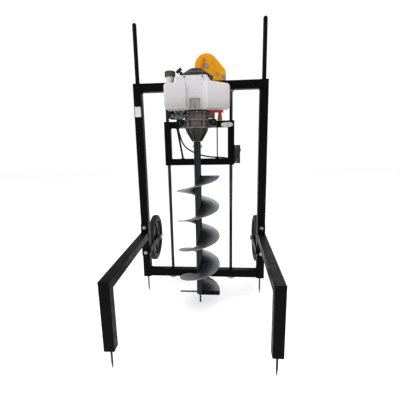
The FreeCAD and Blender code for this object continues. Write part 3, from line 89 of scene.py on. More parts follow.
# Studio: pale floor, white surround, soft lights
studio = {
    "floorSize": 16.0,
    "floorColour": (0.93, 0.93, 0.93, 1),
    "floorRough": 0.9,
    "floorGlow": 0.43,
    "surround": (1.0, 1.0, 1.0, 1),
    "seenStrength": 1.05,
    "lightStrength": 0.62,
    "lights": [
        {"name": "topSoftbox", "place": (0.1, -0.5, 3.4), "aim": (0, -0.1, 0.4), "size": (2.6, 2.6), "power": 24},
        {"name": "keyLight", "place": (-2.3, -2.0, 2.4), "aim": (0, 0, 0.8), "size": (1.1, 1.1), "power": 48},
        {"name": "stripLight", "place": (1.5, -2.0, 0.9), "aim": (0, 0, 0.7), "size": (0.22, 1.9), "power": 9},
        {"name": "rimLight", "place": (0.6, 2.6, 2.2), "aim": (0, 0, 0.7), "size": (1.4, 1.4), "power": 16},
    ],
}


def layFloor(look):
    half = look["floorSize"] / 2
    mesh = bpy.data.meshes.new("floor")
    mesh.from_pydata([(-half, -half, 0), (half, -half, 0), (half, half, 0), (-half, half, 0)], [], [(0, 1, 2, 3)])
    floor = bpy.data.objects.new("floor", mesh)
    bpy.context.scene.collection.objects.link(floor)
    paper = bpy.data.materials.new("floorPaper")
    paper.use_nodes = True
    shader = paper.node_tree.nodes["Principled BSDF"]
    shader.inputs["Base Color"].default_value = look["floorColour"]
    shader.inputs["Roughness"].default_value = look["floorRough"]
    shader.inputs["Emission Color"].default_value = look["floorColour"]
    shader.inputs["Emission Strength"].default_value = look["floorGlow"]
    mesh.materials.append(paper)


def hangSurround(look):
    # the camera sees a brighter white than the one that lights the object
    world = bpy.data.worlds.new("studio")
    bpy.context.scene.world = world
    world.use_nodes = True
    tree = world.node_tree
    background, seen = tree.nodes["Background"], tree.nodes.new("ShaderNodeBackground")
    for shader, strength in ((background, look["lightStrength"]), (seen, look["seenStrength"])):
        shader.inputs["Color"].default_value = look["surround"]
        shader.inputs["Strength"].default_value = strength
    kind = tree.nodes.new("ShaderNodeLightPath")
    either = tree.nodes.new("ShaderNodeMixShader")
    tree.links.new(kind.outputs["Is Camera Ray"], either.inputs["Fac"])
    tree.links.new(background.outputs[0], either.inputs[1])
    tree.links.new(seen.outputs[0], either.inputs[2])
    tree.links.new(either.outputs[0], tree.nodes["World Output"].inputs["Surface"])


def hangLights(look):
    for entry in look["lights"]:
        data = bpy.data.lights.new(entry["name"], "AREA")
        data.energy = entry["power"]
        data.shape = "RECTANGLE"
        data.size, data.size_y = entry["size"]
        lamp = bpy.data.objects.new(entry["name"], data)
        place = Vector(entry["place"])
        lamp.location = place
        lamp.rotation_euler = (Vector(entry["aim"]) - place).to_track_quat("-Z", "Y").to_euler()
        bpy.context.scene.collection.objects.link(lamp)


layFloor(studio)
hangSurround(studio)
bpy.context.scene.view_settings.view_transform = "Standard"
hangLights(studio)
print("camera and studio ready")

# Finishes: every one is made of nodes on Object coordinates
noiseRange = (0.3, 0.7)  # most of a noise's values lie between these


def startFinish(name):
    finish = bpy.data.materials.new(name)
    finish.use_nodes = True
    return finish, finish.node_tree, finish.node_tree.nodes["Principled BSDF"]


def objectPlace(tree, centre=(0, 0, 0), stretch=(1, 1, 1)):
    # Object coordinates counted from a centre, then stretched along the axes
    place = tree.nodes.new("ShaderNodeTexCoord")
    move = tree.nodes.new("ShaderNodeMapping")
    move.inputs["Location"].default_value = [-c * f for c, f in zip(centre, stretch)]
    move.inputs["Scale"].default_value = stretch
    tree.links.new(place.outputs["Object"], move.inputs["Vector"])
    return move.outputs["Vector"]


def mottle(tree, scale, detail=3.0, stretch=(1, 1, 1)):
    # cloudy noise, drawn out along the axes where stretch is small
    pattern = tree.nodes.new("ShaderNodeTexNoise")
    pattern.inputs["Scale"].default_value = scale
    pattern.inputs["Detail"].default_value = detail
    tree.links.new(objectPlace(tree, stretch=stretch), pattern.inputs["Vector"])
    return pattern.outputs["Fac"]


def span(tree, source, low, high, outLow, outHigh):
    # straight line from low..high to outLow..outHigh, held at both ends
    line = tree.nodes.new("ShaderNodeMapRange")
    for key, value in zip(("From Min", "From Max", "To Min", "To Max"), (low, high, outLow, outHigh)):
        line.inputs[key].default_value = value
    tree.links.new(source, line.inputs["Value"])
    return line.outputs["Result"]


def shade(tree, source, stops):
    # stops are (place, colour) pairs along the source's 0..1
    ramp = tree.nodes.new("ShaderNodeValToRGB")
    elements = ramp.color_ramp.elements
    while len(elements) < len(stops):
        elements.new(0.5)
    for element, (place, colour) in zip(elements, stops):
        element.position = place
        element.color = (*colour, 1)
    tree.links.new(source, ramp.inputs["Fac"])
    return ramp.outputs["Color"]


def twoShades(tree, pattern, look):
    # deep where the noise is low, pale where it is high
    return shade(tree, pattern, list(zip(noiseRange, (look["deep"], look["pale"]))))


def varyRoughness(tree, shader, pattern, look):
    tree.links.new(span(tree, pattern, *noiseRange, *look["rough"]), shader.inputs["Roughness"])


def layer(tree, amount, under, over):
    # the colour over lies on the colour under as far as amount says
    mix = tree.nodes.new("ShaderNodeMix")
    mix.data_type = "RGBA"
    tree.links.new(amount, mix.inputs["Factor"])
    for key, colour in (("A", under), ("B", over)):
        socket = next(entry for entry in mix.inputs if entry.name == key and entry.type == "RGBA")
        if isinstance(colour, tuple):
            socket.default_value = (*colour, 1)
        else:
            tree.links.new(colour, socket)
    return next(entry for entry in mix.outputs if entry.type == "RGBA")


def sums(tree, kind, first, second):
    # one step of arithmetic on sockets or numbers
    step = tree.nodes.new("ShaderNodeMath")
    step.operation = kind
    for socket, value in zip(step.inputs, (first, second)):
        if isinstance(value, (int, float)):
            socket.default_value = value
        else:
            tree.links.new(value, socket)
    return step.outputs["Value"]


def reachFrom(tree, centre, stretch):
    # distance from a centre, along the axes whose stretch is 1
    length = tree.nodes.new("ShaderNodeVectorMath")
    length.operation = "LENGTH"
    tree.links.new(objectPlace(tree, centre, stretch), length.inputs[0])
    return length.outputs["Value"]


def roundedNormal(tree, radius):
    # the normal as if the solid's sharp edges were rounded
    rounded = tree.nodes.new("ShaderNodeBevel")
    rounded.samples = 4
    rounded.inputs["Radius"].default_value = radius
    return rounded.outputs["Normal"]


def relief(tree, shader, height, depth, strength, soften):
    # bump of the given depth in metres; soften rounds the sharp edges of the solid
    bump = tree.nodes.new("ShaderNodeBump")
    bump.inputs["Strength"].default_value = strength
    bump.inputs["Distance"].default_value = depth
    tree.links.new(height, bump.inputs["Height"])
    tree.links.new(roundedNormal(tree, soften), bump.inputs["Normal"])
    tree.links.new(bump.outputs["Normal"], shader.inputs["Normal"])


def edgeMask(tree, radius, low, high):
    # 1 along the sharp edges of a solid: how far the rounded normal departs from the true one
    plain = tree.nodes.new("ShaderNodeNewGeometry")
    dot = tree.nodes.new("ShaderNodeVectorMath")
    dot.operation = "DOT_PRODUCT"
    tree.links.new(roundedNormal(tree, radius), dot.inputs[0])
    tree.links.new(plain.outputs["Normal"], dot.inputs[1])
    return span(tree, sums(tree, "SUBTRACT", 1.0, dot.outputs["Value"]), low, high, 0.0, 1.0)


def crevice(tree, reach, low, high):
    # 1 in corners and recesses, 0 on open surfaces; used to paint shade into the colour
    nook = tree.nodes.new("ShaderNodeAmbientOcclusion")
    nook.samples = 6
    nook.inputs["Distance"].default_value = reach
    return span(tree, nook.outputs["AO"], low, high, 1.0, 0.0)


# the rubAndGlint noise breaks up the edge wear and painted highlight
coating = {"edgeSpan": (0.02, 0.16), "rubAndGlintScale": 90.0, "rubAndGlintSpan": (0.42, 0.62), "sheenScale": 40.0, "bump": 0.5}


def powderCoat(name, look):
    # baked coating: two near shades, orange peel, worn thin and painted lighter along the edges as a highlight
    finish, tree, shader = startFinish(name)
    colour = twoShades(tree, mottle(tree, look["cloud"], 4.0), look)
    # wear and painted highlight along the edges, broken up by noise
    rubAndGlint = span(tree, mottle(tree, coating["rubAndGlintScale"]), *coating["rubAndGlintSpan"], 0.0, 1.0)
    worn = sums(tree, "MULTIPLY", edgeMask(tree, look["edge"], *coating["edgeSpan"]), rubAndGlint)
    tree.links.new(layer(tree, worn, colour, look["worn"]), shader.inputs["Base Color"])
    varyRoughness(tree, shader, mottle(tree, coating["sheenScale"]), look)
    relief(tree, shader, mottle(tree, look["peel"], 2.0), look["depth"], coating["bump"], look["edge"])
    shader.inputs["Specular IOR Level"].default_value = look["specular"]
    return finish


def bareMetal(name, look):
    # drawn or plated steel: fine lines along one axis and cloudy tarnish
    finish, tree, shader = startFinish(name)
    lines = mottle(tree, look["lines"], 2.0, look["along"])
    tree.links.new(twoShades(tree, mottle(tree, look["cloud"], 4.0), look), shader.inputs["Base Color"])
    shader.inputs["Metallic"].default_value = look["metal"]
    varyRoughness(tree, shader, lines, look)
    relief(tree, shader, lines, look["depth"], 0.5, look["edge"])
    return finish


def mouldedPlastic(name, look):
    # moulded plastic or rubber: fine grain and a slight bloom
    finish, tree, shader = startFinish(name)
    cloud = mottle(tree, look["cloud"])
    tree.links.new(twoShades(tree, cloud, look), shader.inputs["Base Color"])
    varyRoughness(tree, shader, cloud, look)
    shader.inputs["Specular IOR Level"].default_value = look["specular"]
    relief(tree, shader, mottle(tree, look["grain"], 2.0), look["depth"], 0.4, look["edge"])
    return finish


# paintedShade: the share of the deep colour laid into corners and recesses as painted shade
casting = {"edgeSpan": (0.0, 0.09), "nook": (0.012, 0.35, 0.95), "paintedShade": 0.25, "bump": 0.6}


def castMetal(name, look):
    # sand-cast and painted metal: coarse grain, rubbed paler on the edges with a painted highlight, painted shade in
    # the corners
    finish, tree, shader = startFinish(name)
    cloud = mottle(tree, look["cloud"], 5.0)
    # edges paler from wear and from a painted highlight
    worn = layer(tree, edgeMask(tree, look["edge"], *casting["edgeSpan"]), twoShades(tree, cloud, look), look["worn"])
    # painted shade: a darker copy of the deep colour in the corners and recesses
    paintedShade = tuple(casting["paintedShade"] * part for part in look["deep"])
    tree.links.new(layer(tree, crevice(tree, *casting["nook"]), worn, paintedShade), shader.inputs["Base Color"])
    shader.inputs["Metallic"].default_value = look["metal"]
    varyRoughness(tree, shader, cloud, look)
    relief(tree, shader, mottle(tree, look["grain"]), look["depth"], casting["bump"], look["edge"])
    return finish


def tankPlastic(name, look):
    # milky blow-moulded plastic that lets some light through, darker towards the bottom, with painted shade in the
    # corners and at one spot of the pocket, and a painted highlight along the rims away from that spot
    finish, tree, shader = startFinish(name)
    parts = tree.nodes.new("ShaderNodeSeparateXYZ")
    tree.links.new(objectPlace(tree), parts.inputs["Vector"])
    height = span(tree, parts.outputs["Z"], *look["heights"], 0.0, 1.0)
    cloud = sums(tree, "MULTIPLY", mottle(tree, look["cloud"]), look["cloudShare"])
    shades = list(zip(look["stops"], (look["deep"], look["mid"], look["pale"])))
    colour = shade(tree, sums(tree, "ADD", height, cloud), shades)
    # painted shade: a dark spot in the pocket, laid in with the dim colour
    spot = reachFrom(tree, look["spot"], (1, 0, 1))
    colour = layer(tree, span(tree, spot, look["spotReach"], 0.0, 0.0, look["spotShare"]), colour, look["dim"])
    # painted highlight along the rims, kept away from the shaded spot
    away = span(tree, spot, look["spotReach"], look["spotFade"] * look["spotReach"], 0.0, 1.0)
    rim = sums(tree, "MULTIPLY", edgeMask(tree, look["rim"], *look["rimSpan"]), away)
    rubAndGlint = layer(tree, rim, colour, look["light"])
    # painted shade in the corners and recesses, in the dim colour
    tree.links.new(layer(tree, crevice(tree, *look["nook"]), rubAndGlint, look["dim"]), shader.inputs["Base Color"])
    shader.inputs["Subsurface Weight"].default_value = look["glow"]
    shader.inputs["Subsurface Radius"].default_value = look["glowReach"]
    shader.inputs["Roughness"].default_value = look["rough"]
    relief(tree, shader, mottle(tree, look["grain"], 2.0), look["depth"], 0.4, look["edge"])
    return finish


def flightSteel(name, look):
    # the flight: dark coating near the tube, scoured bright towards the rim, with rub marks round the axis
    finish, tree, shader = startFinish(name)
    radius = reachFrom(tree, (*look["axis"], 0), (1, 1, 0))
    ragged = sums(tree, "MULTIPLY", sums(tree, "SUBTRACT", mottle(tree, look["cloud"], 5.0), 0.5), look["ragged"])
    place = span(tree, sums(tree, "ADD", radius, ragged), look["inner"], look["outer"], 0.0, 1.0)
    ring = tree.nodes.new("ShaderNodeTexNoise")
    ring.noise_dimensions = "1D"
    ring.inputs["Scale"].default_value = look["rings"]
    ring.inputs["Detail"].default_value = 3.0
    tree.links.new(radius, ring.inputs["W"])
    shades = list(zip(look["stops"], (look["dark"], look["middle"], look["bright"])))
    tree.links.new(shade(tree, place, shades), shader.inputs["Base Color"])
    tree.links.new(span(tree, place, 0.0, 1.0, *look["metal"]), shader.inputs["Metallic"])
    rubAndGlint = sums(tree, "MULTIPLY", ring.outputs["Fac"], look["ringRough"])
    tree.links.new(sums(tree, "ADD", rubAndGlint, look["rough"]), shader.inputs["Roughness"])
    relief(tree, shader, ring.outputs["Fac"], look["depth"], 0.4, look["edge"])
    return finish


def grey(value):
    return value, value, value


# worn is the colour along the edges, for wear and for a painted highlight
finishes = {
    "frame_black": (powderCoat, {
        "deep": (0.001, 0.001, 0.0011), "pale": (0.0025, 0.0025, 0.0027), "worn": grey(0.012), "cloud": 7.0,
        "edge": 0.0012, "rough": (0.33, 0.48), "peel": 700.0, "depth": 0.00015, "specular": 0.045}),
    "spike_steel": (powderCoat, {
        "deep": grey(0.006), "pale": (0.02, 0.018, 0.016), "worn": grey(0.12), "cloud": 60.0, "edge": 0.0006,
        "rough": (0.35, 0.5), "peel": 900.0, "depth": 0.0001, "specular": 0.25}),
    "bit_black": (powderCoat, {
        "deep": (0.003, 0.004, 0.006), "pale": (0.008, 0.01, 0.013), "worn": (0.1, 0.105, 0.11), "cloud": 25.0,
        "edge": 0.001, "rough": (0.14, 0.28), "peel": 500.0, "depth": 0.0001, "specular": 0.22}),
    "winch_yellow": (powderCoat, {
        "deep": (0.6, 0.25, 0.001), "pale": (0.76, 0.34, 0.001), "worn": (0.12, 0.08, 0.02), "cloud": 20.0,
        "edge": 0.0008, "rough": (0.32, 0.45), "peel": 600.0, "depth": 0.0001, "specular": 0.15}),
    "pawl_orange": (powderCoat, {
        "deep": (0.55, 0.1, 0.004), "pale": (0.65, 0.15, 0.006), "worn": (0.3, 0.2, 0.1), "cloud": 30.0,
        "edge": 0.0008, "rough": (0.32, 0.45), "peel": 600.0, "depth": 0.0001, "specular": 0.3}),
    "muffler_black": (powderCoat, {
        "deep": (0.01, 0.009, 0.008), "pale": (0.03, 0.024, 0.018), "worn": (0.07, 0.055, 0.04), "cloud": 40.0,
        "edge": 0.001, "rough": (0.5, 0.7), "peel": 500.0, "depth": 0.0002, "specular": 0.3}),
    "zinc_steel": (bareMetal, {
        "deep": (0.22, 0.225, 0.235), "pale": (0.4, 0.405, 0.41), "metal": 1.0, "lines": 300.0, "along": (1, 1, 0.2),
        "cloud": 60.0, "rough": (0.28, 0.45), "depth": 0.0001, "edge": 0.0005}),
    "rod_steel": (bareMetal, {
        "deep": (0.016, 0.017, 0.018), "pale": (0.04, 0.042, 0.045), "metal": 1.0, "lines": 500.0,
        "along": (1, 1, 0.02), "cloud": 12.0, "rough": (0.25, 0.4), "depth": 0.0001, "edge": 0.0005}),
    "gear_steel": (bareMetal, {
        "deep": (0.2, 0.2, 0.21), "pale": (0.34, 0.34, 0.35), "metal": 1.0, "lines": 350.0, "along": (1, 0.2, 1),
        "cloud": 45.0, "rough": (0.32, 0.5), "depth": 0.0001, "edge": 0.0004}),
    "wire_rope": (bareMetal, {
        "deep": grey(0.2), "pale": grey(0.4), "metal": 1.0, "lines": 900.0, "along": (1, 1, 0.5), "cloud": 80.0,
        "rough": (0.35, 0.5), "depth": 0.0002, "edge": 0.0003}),
    "cast_aluminium": (castMetal, {
        "deep": grey(0.035), "pale": (0.17, 0.17, 0.165), "worn": (0.65, 0.65, 0.64), "metal": 0.8, "cloud": 60.0,
        "rough": (0.35, 0.55), "grain": 500.0, "depth": 0.0003, "edge": 0.0008}),
    "gearcase_grey": (castMetal, {
        "deep": (0.0025, 0.0025, 0.0022), "pale": (0.011, 0.0102, 0.009), "worn": (0.1, 0.093, 0.085), "metal": 0.1,
        "cloud": 50.0, "rough": (0.36, 0.55), "grain": 400.0, "depth": 0.0003, "edge": 0.001}),
    "engine_grey": (castMetal, {
        "deep": (0.03, 0.024, 0.021), "pale": (0.12, 0.1, 0.09), "worn": (0.6, 0.56, 0.53), "metal": 0.3,
        "cloud": 50.0, "rough": (0.36, 0.55), "grain": 400.0, "depth": 0.0003, "edge": 0.0018}),
    "wheel_grey": (mouldedPlastic, {
        "deep": grey(0.008), "pale": grey(0.018), "cloud": 25.0, "rough": (0.4, 0.55), "grain": 700.0,
        "depth": 0.0002, "edge": 0.001, "specular": 0.3}),
    "tyre_black": (mouldedPlastic, {
        "deep": grey(0.006), "pale": (0.016, 0.015, 0.014), "cloud": 30.0, "rough": (0.6, 0.85), "grain": 500.0,
        "depth": 0.0003, "edge": 0.001, "specular": 0.25}),
    "grip_black": (mouldedPlastic, {
        "deep": grey(0.004), "pale": grey(0.01), "cloud": 40.0, "rough": (0.3, 0.45), "grain": 600.0, "depth": 0.0001,
        "edge": 0.0008, "specular": 0.3}),
    "bush_plastic": (mouldedPlastic, {
        "deep": (0.6, 0.59, 0.55), "pale": (0.75, 0.74, 0.7), "cloud": 40.0, "rough": (0.4, 0.5), "grain": 600.0,
        "depth": 0.0001, "edge": 0.0005, "specular": 0.4}),
    "mount_rubber": (mouldedPlastic, {
        "deep": grey(0.002), "pale": grey(0.006), "cloud": 60.0, "rough": (0.4, 0.55), "grain": 500.0,
        "depth": 0.0002, "edge": 0.001, "specular": 0.16}),
    "cover_black": (powderCoat, {
        "deep": (0.004, 0.004, 0.0045), "pale": (0.01, 0.01, 0.011), "worn": (0.3, 0.3, 0.31), "cloud": 30.0,
        "edge": 0.0014, "rough": (0.18, 0.3), "peel": 600.0, "depth": 0.0001, "specular": 0.14}),
    "shroud_red": (mouldedPlastic, {
        "deep": (0.3, 0.008, 0.004), "pale": (0.42, 0.014, 0.008), "cloud": 20.0, "rough": (0.28, 0.4),
        "grain": 600.0, "depth": 0.0001, "edge": 0.0015, "specular": 0.4}),
    "cap_black": (mouldedPlastic, {
        "deep": (0.028, 0.026, 0.021), "pale": (0.05, 0.047, 0.04), "cloud": 50.0, "rough": (0.42, 0.58),
        "grain": 700.0, "depth": 0.0002, "edge": 0.001, "specular": 0.35}),
    "control_black": (mouldedPlastic, {
        "deep": grey(0.004), "pale": grey(0.009), "cloud": 50.0, "rough": (0.38, 0.52), "grain": 700.0,
        "depth": 0.0002, "edge": 0.001, "specular": 0.3}),
    "lever_red": (mouldedPlastic, {
        "deep": grey(0.02), "pale": grey(0.045), "cloud": 50.0, "rough": (0.4, 0.5), "grain": 700.0, "depth": 0.0001,
        "edge": 0.0008, "specular": 0.35}),
    "cable_black": (mouldedPlastic, {
        "deep": grey(0.0015), "pale": grey(0.004), "cloud": 80.0, "rough": (0.5, 0.65), "grain": 700.0,
        "depth": 0.0001, "edge": 0.0003, "specular": 0.08}),
    "boltBlack": (powderCoat, {
        "deep": grey(0.006), "pale": grey(0.02), "worn": grey(0.35), "cloud": 90.0, "edge": 0.0007,
        "rough": (0.25, 0.4), "peel": 900.0, "depth": 0.0001, "specular": 0.4}),
    "bootOrange": (mouldedPlastic, {
        "deep": (0.3, 0.07, 0.012), "pale": (0.42, 0.11, 0.02), "cloud": 60.0, "rough": (0.4, 0.55), "grain": 600.0,
        "depth": 0.0002, "edge": 0.0006, "specular": 0.3}),
    "fuelHose": (mouldedPlastic, {
        "deep": (0.03, 0.026, 0.018), "pale": (0.07, 0.06, 0.04), "cloud": 60.0, "rough": (0.18, 0.3), "grain": 600.0,
        "depth": 0.0001, "edge": 0.0004, "specular": 0.5}),
    "labelPlate": (mouldedPlastic, {
        "deep": (0.5, 0.5, 0.49), "pale": (0.62, 0.62, 0.61), "cloud": 60.0, "rough": (0.3, 0.45), "grain": 300.0,
        "depth": 0.0001, "edge": 0.0003, "specular": 0.4}),
    "ovalPlate": (bareMetal, {
        "deep": grey(0.55), "pale": (0.74, 0.74, 0.73), "metal": 0.85, "lines": 400.0, "along": (0.1, 1, 1),
        "cloud": 70.0, "rough": (0.3, 0.45), "depth": 0.0001, "edge": 0.0003}),
    # tank_white: dim is the colour of the painted shade, light the colour of the painted highlight on the rims
    "tank_white": (tankPlastic, {
        "deep": (0.2, 0.19, 0.165), "mid": (0.45, 0.435, 0.43), "pale": (0.52, 0.505, 0.52), "heights": (0.925, 1.04),
        "light": grey(0.78), "dim": (0.15, 0.14, 0.125), "rim": 0.005, "spot": (-0.005, 0, 0.966), "spotReach": 0.034,
        "cloud": 12.0, "glow": 0.15, "glowReach": (0.012, 0.011, 0.01), "rough": 0.3, "grain": 500.0, "depth": 0.0001,
        "edge": 0.002, "cloudShare": 0.25, "stops": (0.05, 0.6, 1.0), "spotShare": 0.85, "spotFade": 1.5,
        "rimSpan": (0.0, 0.13), "nook": (0.016, 0.1, 0.9)}),
    "bit_steel": (flightSteel, {
        "axis": (-0.007, -0.0021), "ragged": 0.03, "inner": 0.02, "outer": 0.1, "rough": 0.3,
        "dark": (0.006, 0.009, 0.014), "middle": (0.05, 0.058, 0.068), "bright": (0.19, 0.215, 0.23), "cloud": 30.0,
        "rings": 420.0, "ringRough": 0.25, "stops": (0.0, 0.45, 0.9), "metal": (0.55, 0.95), "depth": 0.0002,
        "edge": 0.0008}),
}

finishOf = {name: make(name, look) for name, (make, look) in finishes.items()}
for entry in frame["record"]["subparts"]:
    slots = nodes[entry["node"]].data.materials
    for index in range(len(slots)):
        slots[index] = finishOf[entry["material_slot"]]
nodes["mount_bolts"].data.materials[0] = finishOf["boltBlack"]
print("finishes:", len(finishOf))

# Fine pieces: each is a mesh worked out as whole arrays, at the origin, and rides on its body
frameY = 0.101883
mergeDistance = 0.000001
engineAxis = engineX, engineY = (-7, -104)  # of the engine and the bit, in drawing millimetres
upward, forward = (0, 0, 1), (0, -1, 0)


def placed(points):
    # drawing millimetres, with Y counted from the posts' front faces, as metres in the frame
    return np.asarray(points, float) / 1000 + (0, frameY, 0)


def at(x, y, z):
    return placed((x, y, z))


def ringOf(count):
    # angles of evenly spaced points round a circle
    return np.linspace(0, 2 * math.pi, count, endpoint=False)


def gridFaces(rows, columns, closeRows=False):
    # quads of a grid whose columns run round; closeRows joins the last row to the first
    row, column = np.meshgrid(np.arange(rows if closeRows else rows - 1), np.arange(columns), indexing="ij")
    nextRow, nextColumn = (row + 1) % rows, (column + 1) % columns
    quads = np.stack([row * columns + column, row * columns + nextColumn,
                      nextRow * columns + nextColumn, nextRow * columns + column], -1)
    return quads.reshape(-1, 4).tolist()


def lengthAlong(path):
    return np.concatenate([[0], np.cumsum(np.linalg.norm(np.diff(path, axis=0), axis=1))])


def framesAlong(path, closed=False):
    # direction of the path, and a side carried on from point to point without twist
    if closed:
        ahead = np.roll(path, -1, 0) - np.roll(path, 1, 0)
    else:
        ahead = np.gradient(path, axis=0)
    ahead = ahead / np.linalg.norm(ahead, axis=1)[:, None]
    side = np.empty_like(path)
    last = np.cross(ahead[0], (0.0, 0.0, 1.0))
    if np.linalg.norm(last) < 0.3:
        last = np.cross(ahead[0], (1.0, 0.0, 0.0))
    for index, direction in enumerate(ahead):
        last = last - direction * (last @ direction)
        last = last / np.linalg.norm(last)
        side[index] = last
    return ahead, side, np.cross(ahead, side)


def tubeAlong(path, radius, sides=10, closed=False):
    # rings square to the path; the radius may change along it and round it
    side, other = framesAlong(path, closed)[1:]
    angle = ringOf(sides)
    radius = np.asarray(radius, float)
    if radius.ndim == 1:
        radius = radius[:, None]
    size = np.broadcast_to(radius, (len(path), sides))
    ring = np.cos(angle)[None, :, None] * side[:, None] + np.sin(angle)[None, :, None] * other[:, None]
    points = (path[:, None] + size[..., None] * ring).reshape(-1, 3)
    faces = gridFaces(len(path), sides, closed)
    if not closed:
        faces += [list(range(sides)), list(range(len(points) - sides, len(points)))[::-1]]
    return points, faces


def turnedAbout(profile, centre, axis, sides=32):
    # profile of (along, radius) in millimetres, turned about an axis through the centre
    profile = np.asarray(profile, float) / 1000
    axis = np.asarray(axis, float) / np.linalg.norm(axis)
    first = np.cross(axis, (0.0, 0.0, 1.0) if abs(axis[2]) < 0.9 else (1.0, 0.0, 0.0))
    first = first / np.linalg.norm(first)
    second = np.cross(axis, first)
    angle = ringOf(sides)
    ring = np.cos(angle)[:, None] * first + np.sin(angle)[:, None] * second
    points = centre + profile[:, :1, None] * axis + profile[:, 1:, None] * ring
    return points.reshape(-1, 3), gridFaces(len(profile), sides)


def aroundEngine(radius, angle, z):
    return engineX + radius * math.cos(angle), engineY + radius * math.sin(angle), z


def levelRing(centre, ringRadius, count):
    # a level circle of points round a centre, all in drawing millimetres
    angle = ringOf(count)
    return at(*centre) + ringRadius / 1000 * np.stack([np.cos(angle), np.sin(angle), 0 * angle], -1)


def addPiece(name, parts, finishName, body=None, sharp=40):
    mesh = bpy.data.meshes.new(name)
    points, faces, start = [], [], 0
    for partPoints, partFaces in parts:
        points.append(np.asarray(partPoints, float))
        faces.extend([[index + start for index in face] for face in partFaces])
        start += len(partPoints)
    mesh.from_pydata(np.concatenate(points).tolist(), [], faces)
    work = bmesh.new()
    work.from_mesh(mesh)
    bmesh.ops.remove_doubles(work, verts=work.verts, dist=mergeDistance)
    bmesh.ops.recalc_face_normals(work, faces=work.faces)
    work.to_mesh(mesh)
    work.free()
    mesh.shade_smooth()
    mesh.set_sharp_from_angle(angle=math.radians(sharp))
    mesh.materials.append(finishOf[finishName])
    piece = bpy.data.objects.new(name, mesh)
    bpy.context.scene.collection.objects.link(piece)
    if body:
        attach(piece, body)
    return piece


# Weld beads: lines in drawing millimetres with their radius, rippled like a hand-laid seam
welds = {"ripple": 2.6, "rise": 0.16, "step": 0.65, "sides": 8, "endShare": 0.35, "endSlope": 300}


def bead(path, radius, closed=False):
    # radius times one plus a share of the sine of the length over the ripple, thinner at open ends
    length = lengthAlong(path)
    wave = np.sin(2 * math.pi * length * 1000 / welds["ripple"])
    ends = np.ones(len(path))
    if not closed:
        ends = np.minimum(1, welds["endShare"] + np.minimum(length, length[-1] - length) * welds["endSlope"])
    return tubeAlong(path, radius / 1000 * (1 + welds["rise"] * wave) * ends, welds["sides"], closed)


def straightBead(start, end, radius):
    start, end = at(*start), at(*end)
    count = max(4, int(np.linalg.norm(end - start) * 1000 / welds["step"]))
    return bead(start + (end - start) * np.linspace(0, 1, count)[:, None], radius)


def roundBead(centre, ringRadius, radius):
    return bead(levelRing(centre, ringRadius, int(ringRadius * 2 * math.pi / welds["step"])), radius, True)


def boxBead(x, half, z, y, radius):
    # four seams round a square tube that ends on an upright plate
    corners = [(x - half, y, z[0]), (x + half, y, z[0]), (x + half, y, z[1]), (x - half, y, z[1])]
    return [straightBead(corners[index - 1], corners[index], radius) for index in (1, 2, 3, 0)]


def acrossBeads(x, ys, zs, radius):
    # from the first y to the second, at every z
    return [straightBead((x, ys[0], z), (x, ys[1], z), radius) for z in zs]


def uprightBeads(x, ys, zs, radius):
    # at every y, over every stretch of z
    return [straightBead((x, y, low), (x, y, high), radius) for y in ys for low, high in zs]


frameSeams = {
    "inner": 285.0, "middle": 305.0,
    "rails": {"ys": (2, 38), "zs": (1053, 137), "radius": 2.6},
    "railSides": {"ys": (0.9, 39.1), "zs": ((1054, 1092), (98, 136)), "radius": 1.9},
    "rings": (((305, 20, 1093.4), 11.4, 2.0), ((305, 20, 92.6), 5.2, 1.8), ((295.36, -545.0, 80.6), 5.2, 1.8)),
    "leg": {"half": 20, "z": (310, 346), "y": -6.6, "radius": 2.2},
    "carrierSides": {"ys": (12, 39), "zs": ((228.4, 261.6),), "radius": 2.0},
    "carrier": {"ys": (12, 39), "zs": (228, 262), "radius": 2.0},
    "mitre": {"x": (-19.2, 19.2), "ends": ((-564, 347), (-526, 309)), "toe": 0.0177, "radius": 1.5},
    "rods": {"x": (-164, 150), "y": 20, "z": 1052.6, "ring": 13.2, "radius": 1.6},
}


def mitreBead(side, x, mitre):
    # the diagonal on one side of the leg's tube, which is turned by the toe
    line = []
    for reach, z in mitre["ends"]:
        turnX = frameSeams["middle"] + x * math.cos(mitre["toe"]) + reach * math.sin(mitre["toe"])
        turnY = reach * math.cos(mitre["toe"]) - x * math.sin(mitre["toe"])
        line.append((side * turnX, turnY, z))
    return straightBead(*line, mitre["radius"])


seamParts = []
for side in (-1, 1):
    edge = side * frameSeams["inner"]
    seamParts += acrossBeads(edge, **frameSeams["rails"]) + uprightBeads(edge, **frameSeams["railSides"])
    seamParts += [roundBead((side * x, y, z), ring, radius) for (x, y, z), ring, radius in frameSeams["rings"]]
    seamParts += boxBead(side * frameSeams["middle"], **frameSeams["leg"])
    seamParts += uprightBeads(edge, **frameSeams["carrierSides"]) + acrossBeads(edge, **frameSeams["carrier"])
    seamParts += [mitreBead(side, x, frameSeams["mitre"]) for x in frameSeams["mitre"]["x"]]
rods = frameSeams["rods"]
seamParts += [roundBead((x, rods["y"], rods["z"]), rods["ring"], rods["radius"]) for x in rods["x"]]
addPiece("frameWelds", seamParts, "frame_black", "frame", 60)

carriageSeams = {
    "edges": (-148, 134),
    "bars": {"ys": (6, 34), "zs": (729, 879), "radius": 2.2},
    "barSides": {"ys": (4.8, 35.2), "zs": ((699, 727), (881, 909)), "radius": 1.7},
    "armX": (-81, 67),
    "arm": {"half": 15, "z": (880.5, 909.5), "y": 3.2, "radius": 1.9},
    "stay": ((82, 20, 732.4), 4.0, 1.5),
}
seamParts = []
for edge in carriageSeams["edges"]:
    seamParts += acrossBeads(edge, **carriageSeams["bars"]) + uprightBeads(edge, **carriageSeams["barSides"])
for x in carriageSeams["armX"]:
    seamParts += boxBead(x, **carriageSeams["arm"])
seamParts.append(roundBead(*carriageSeams["stay"]))
addPiece("carriageWelds", seamParts, "frame_black", "carriage", 60)

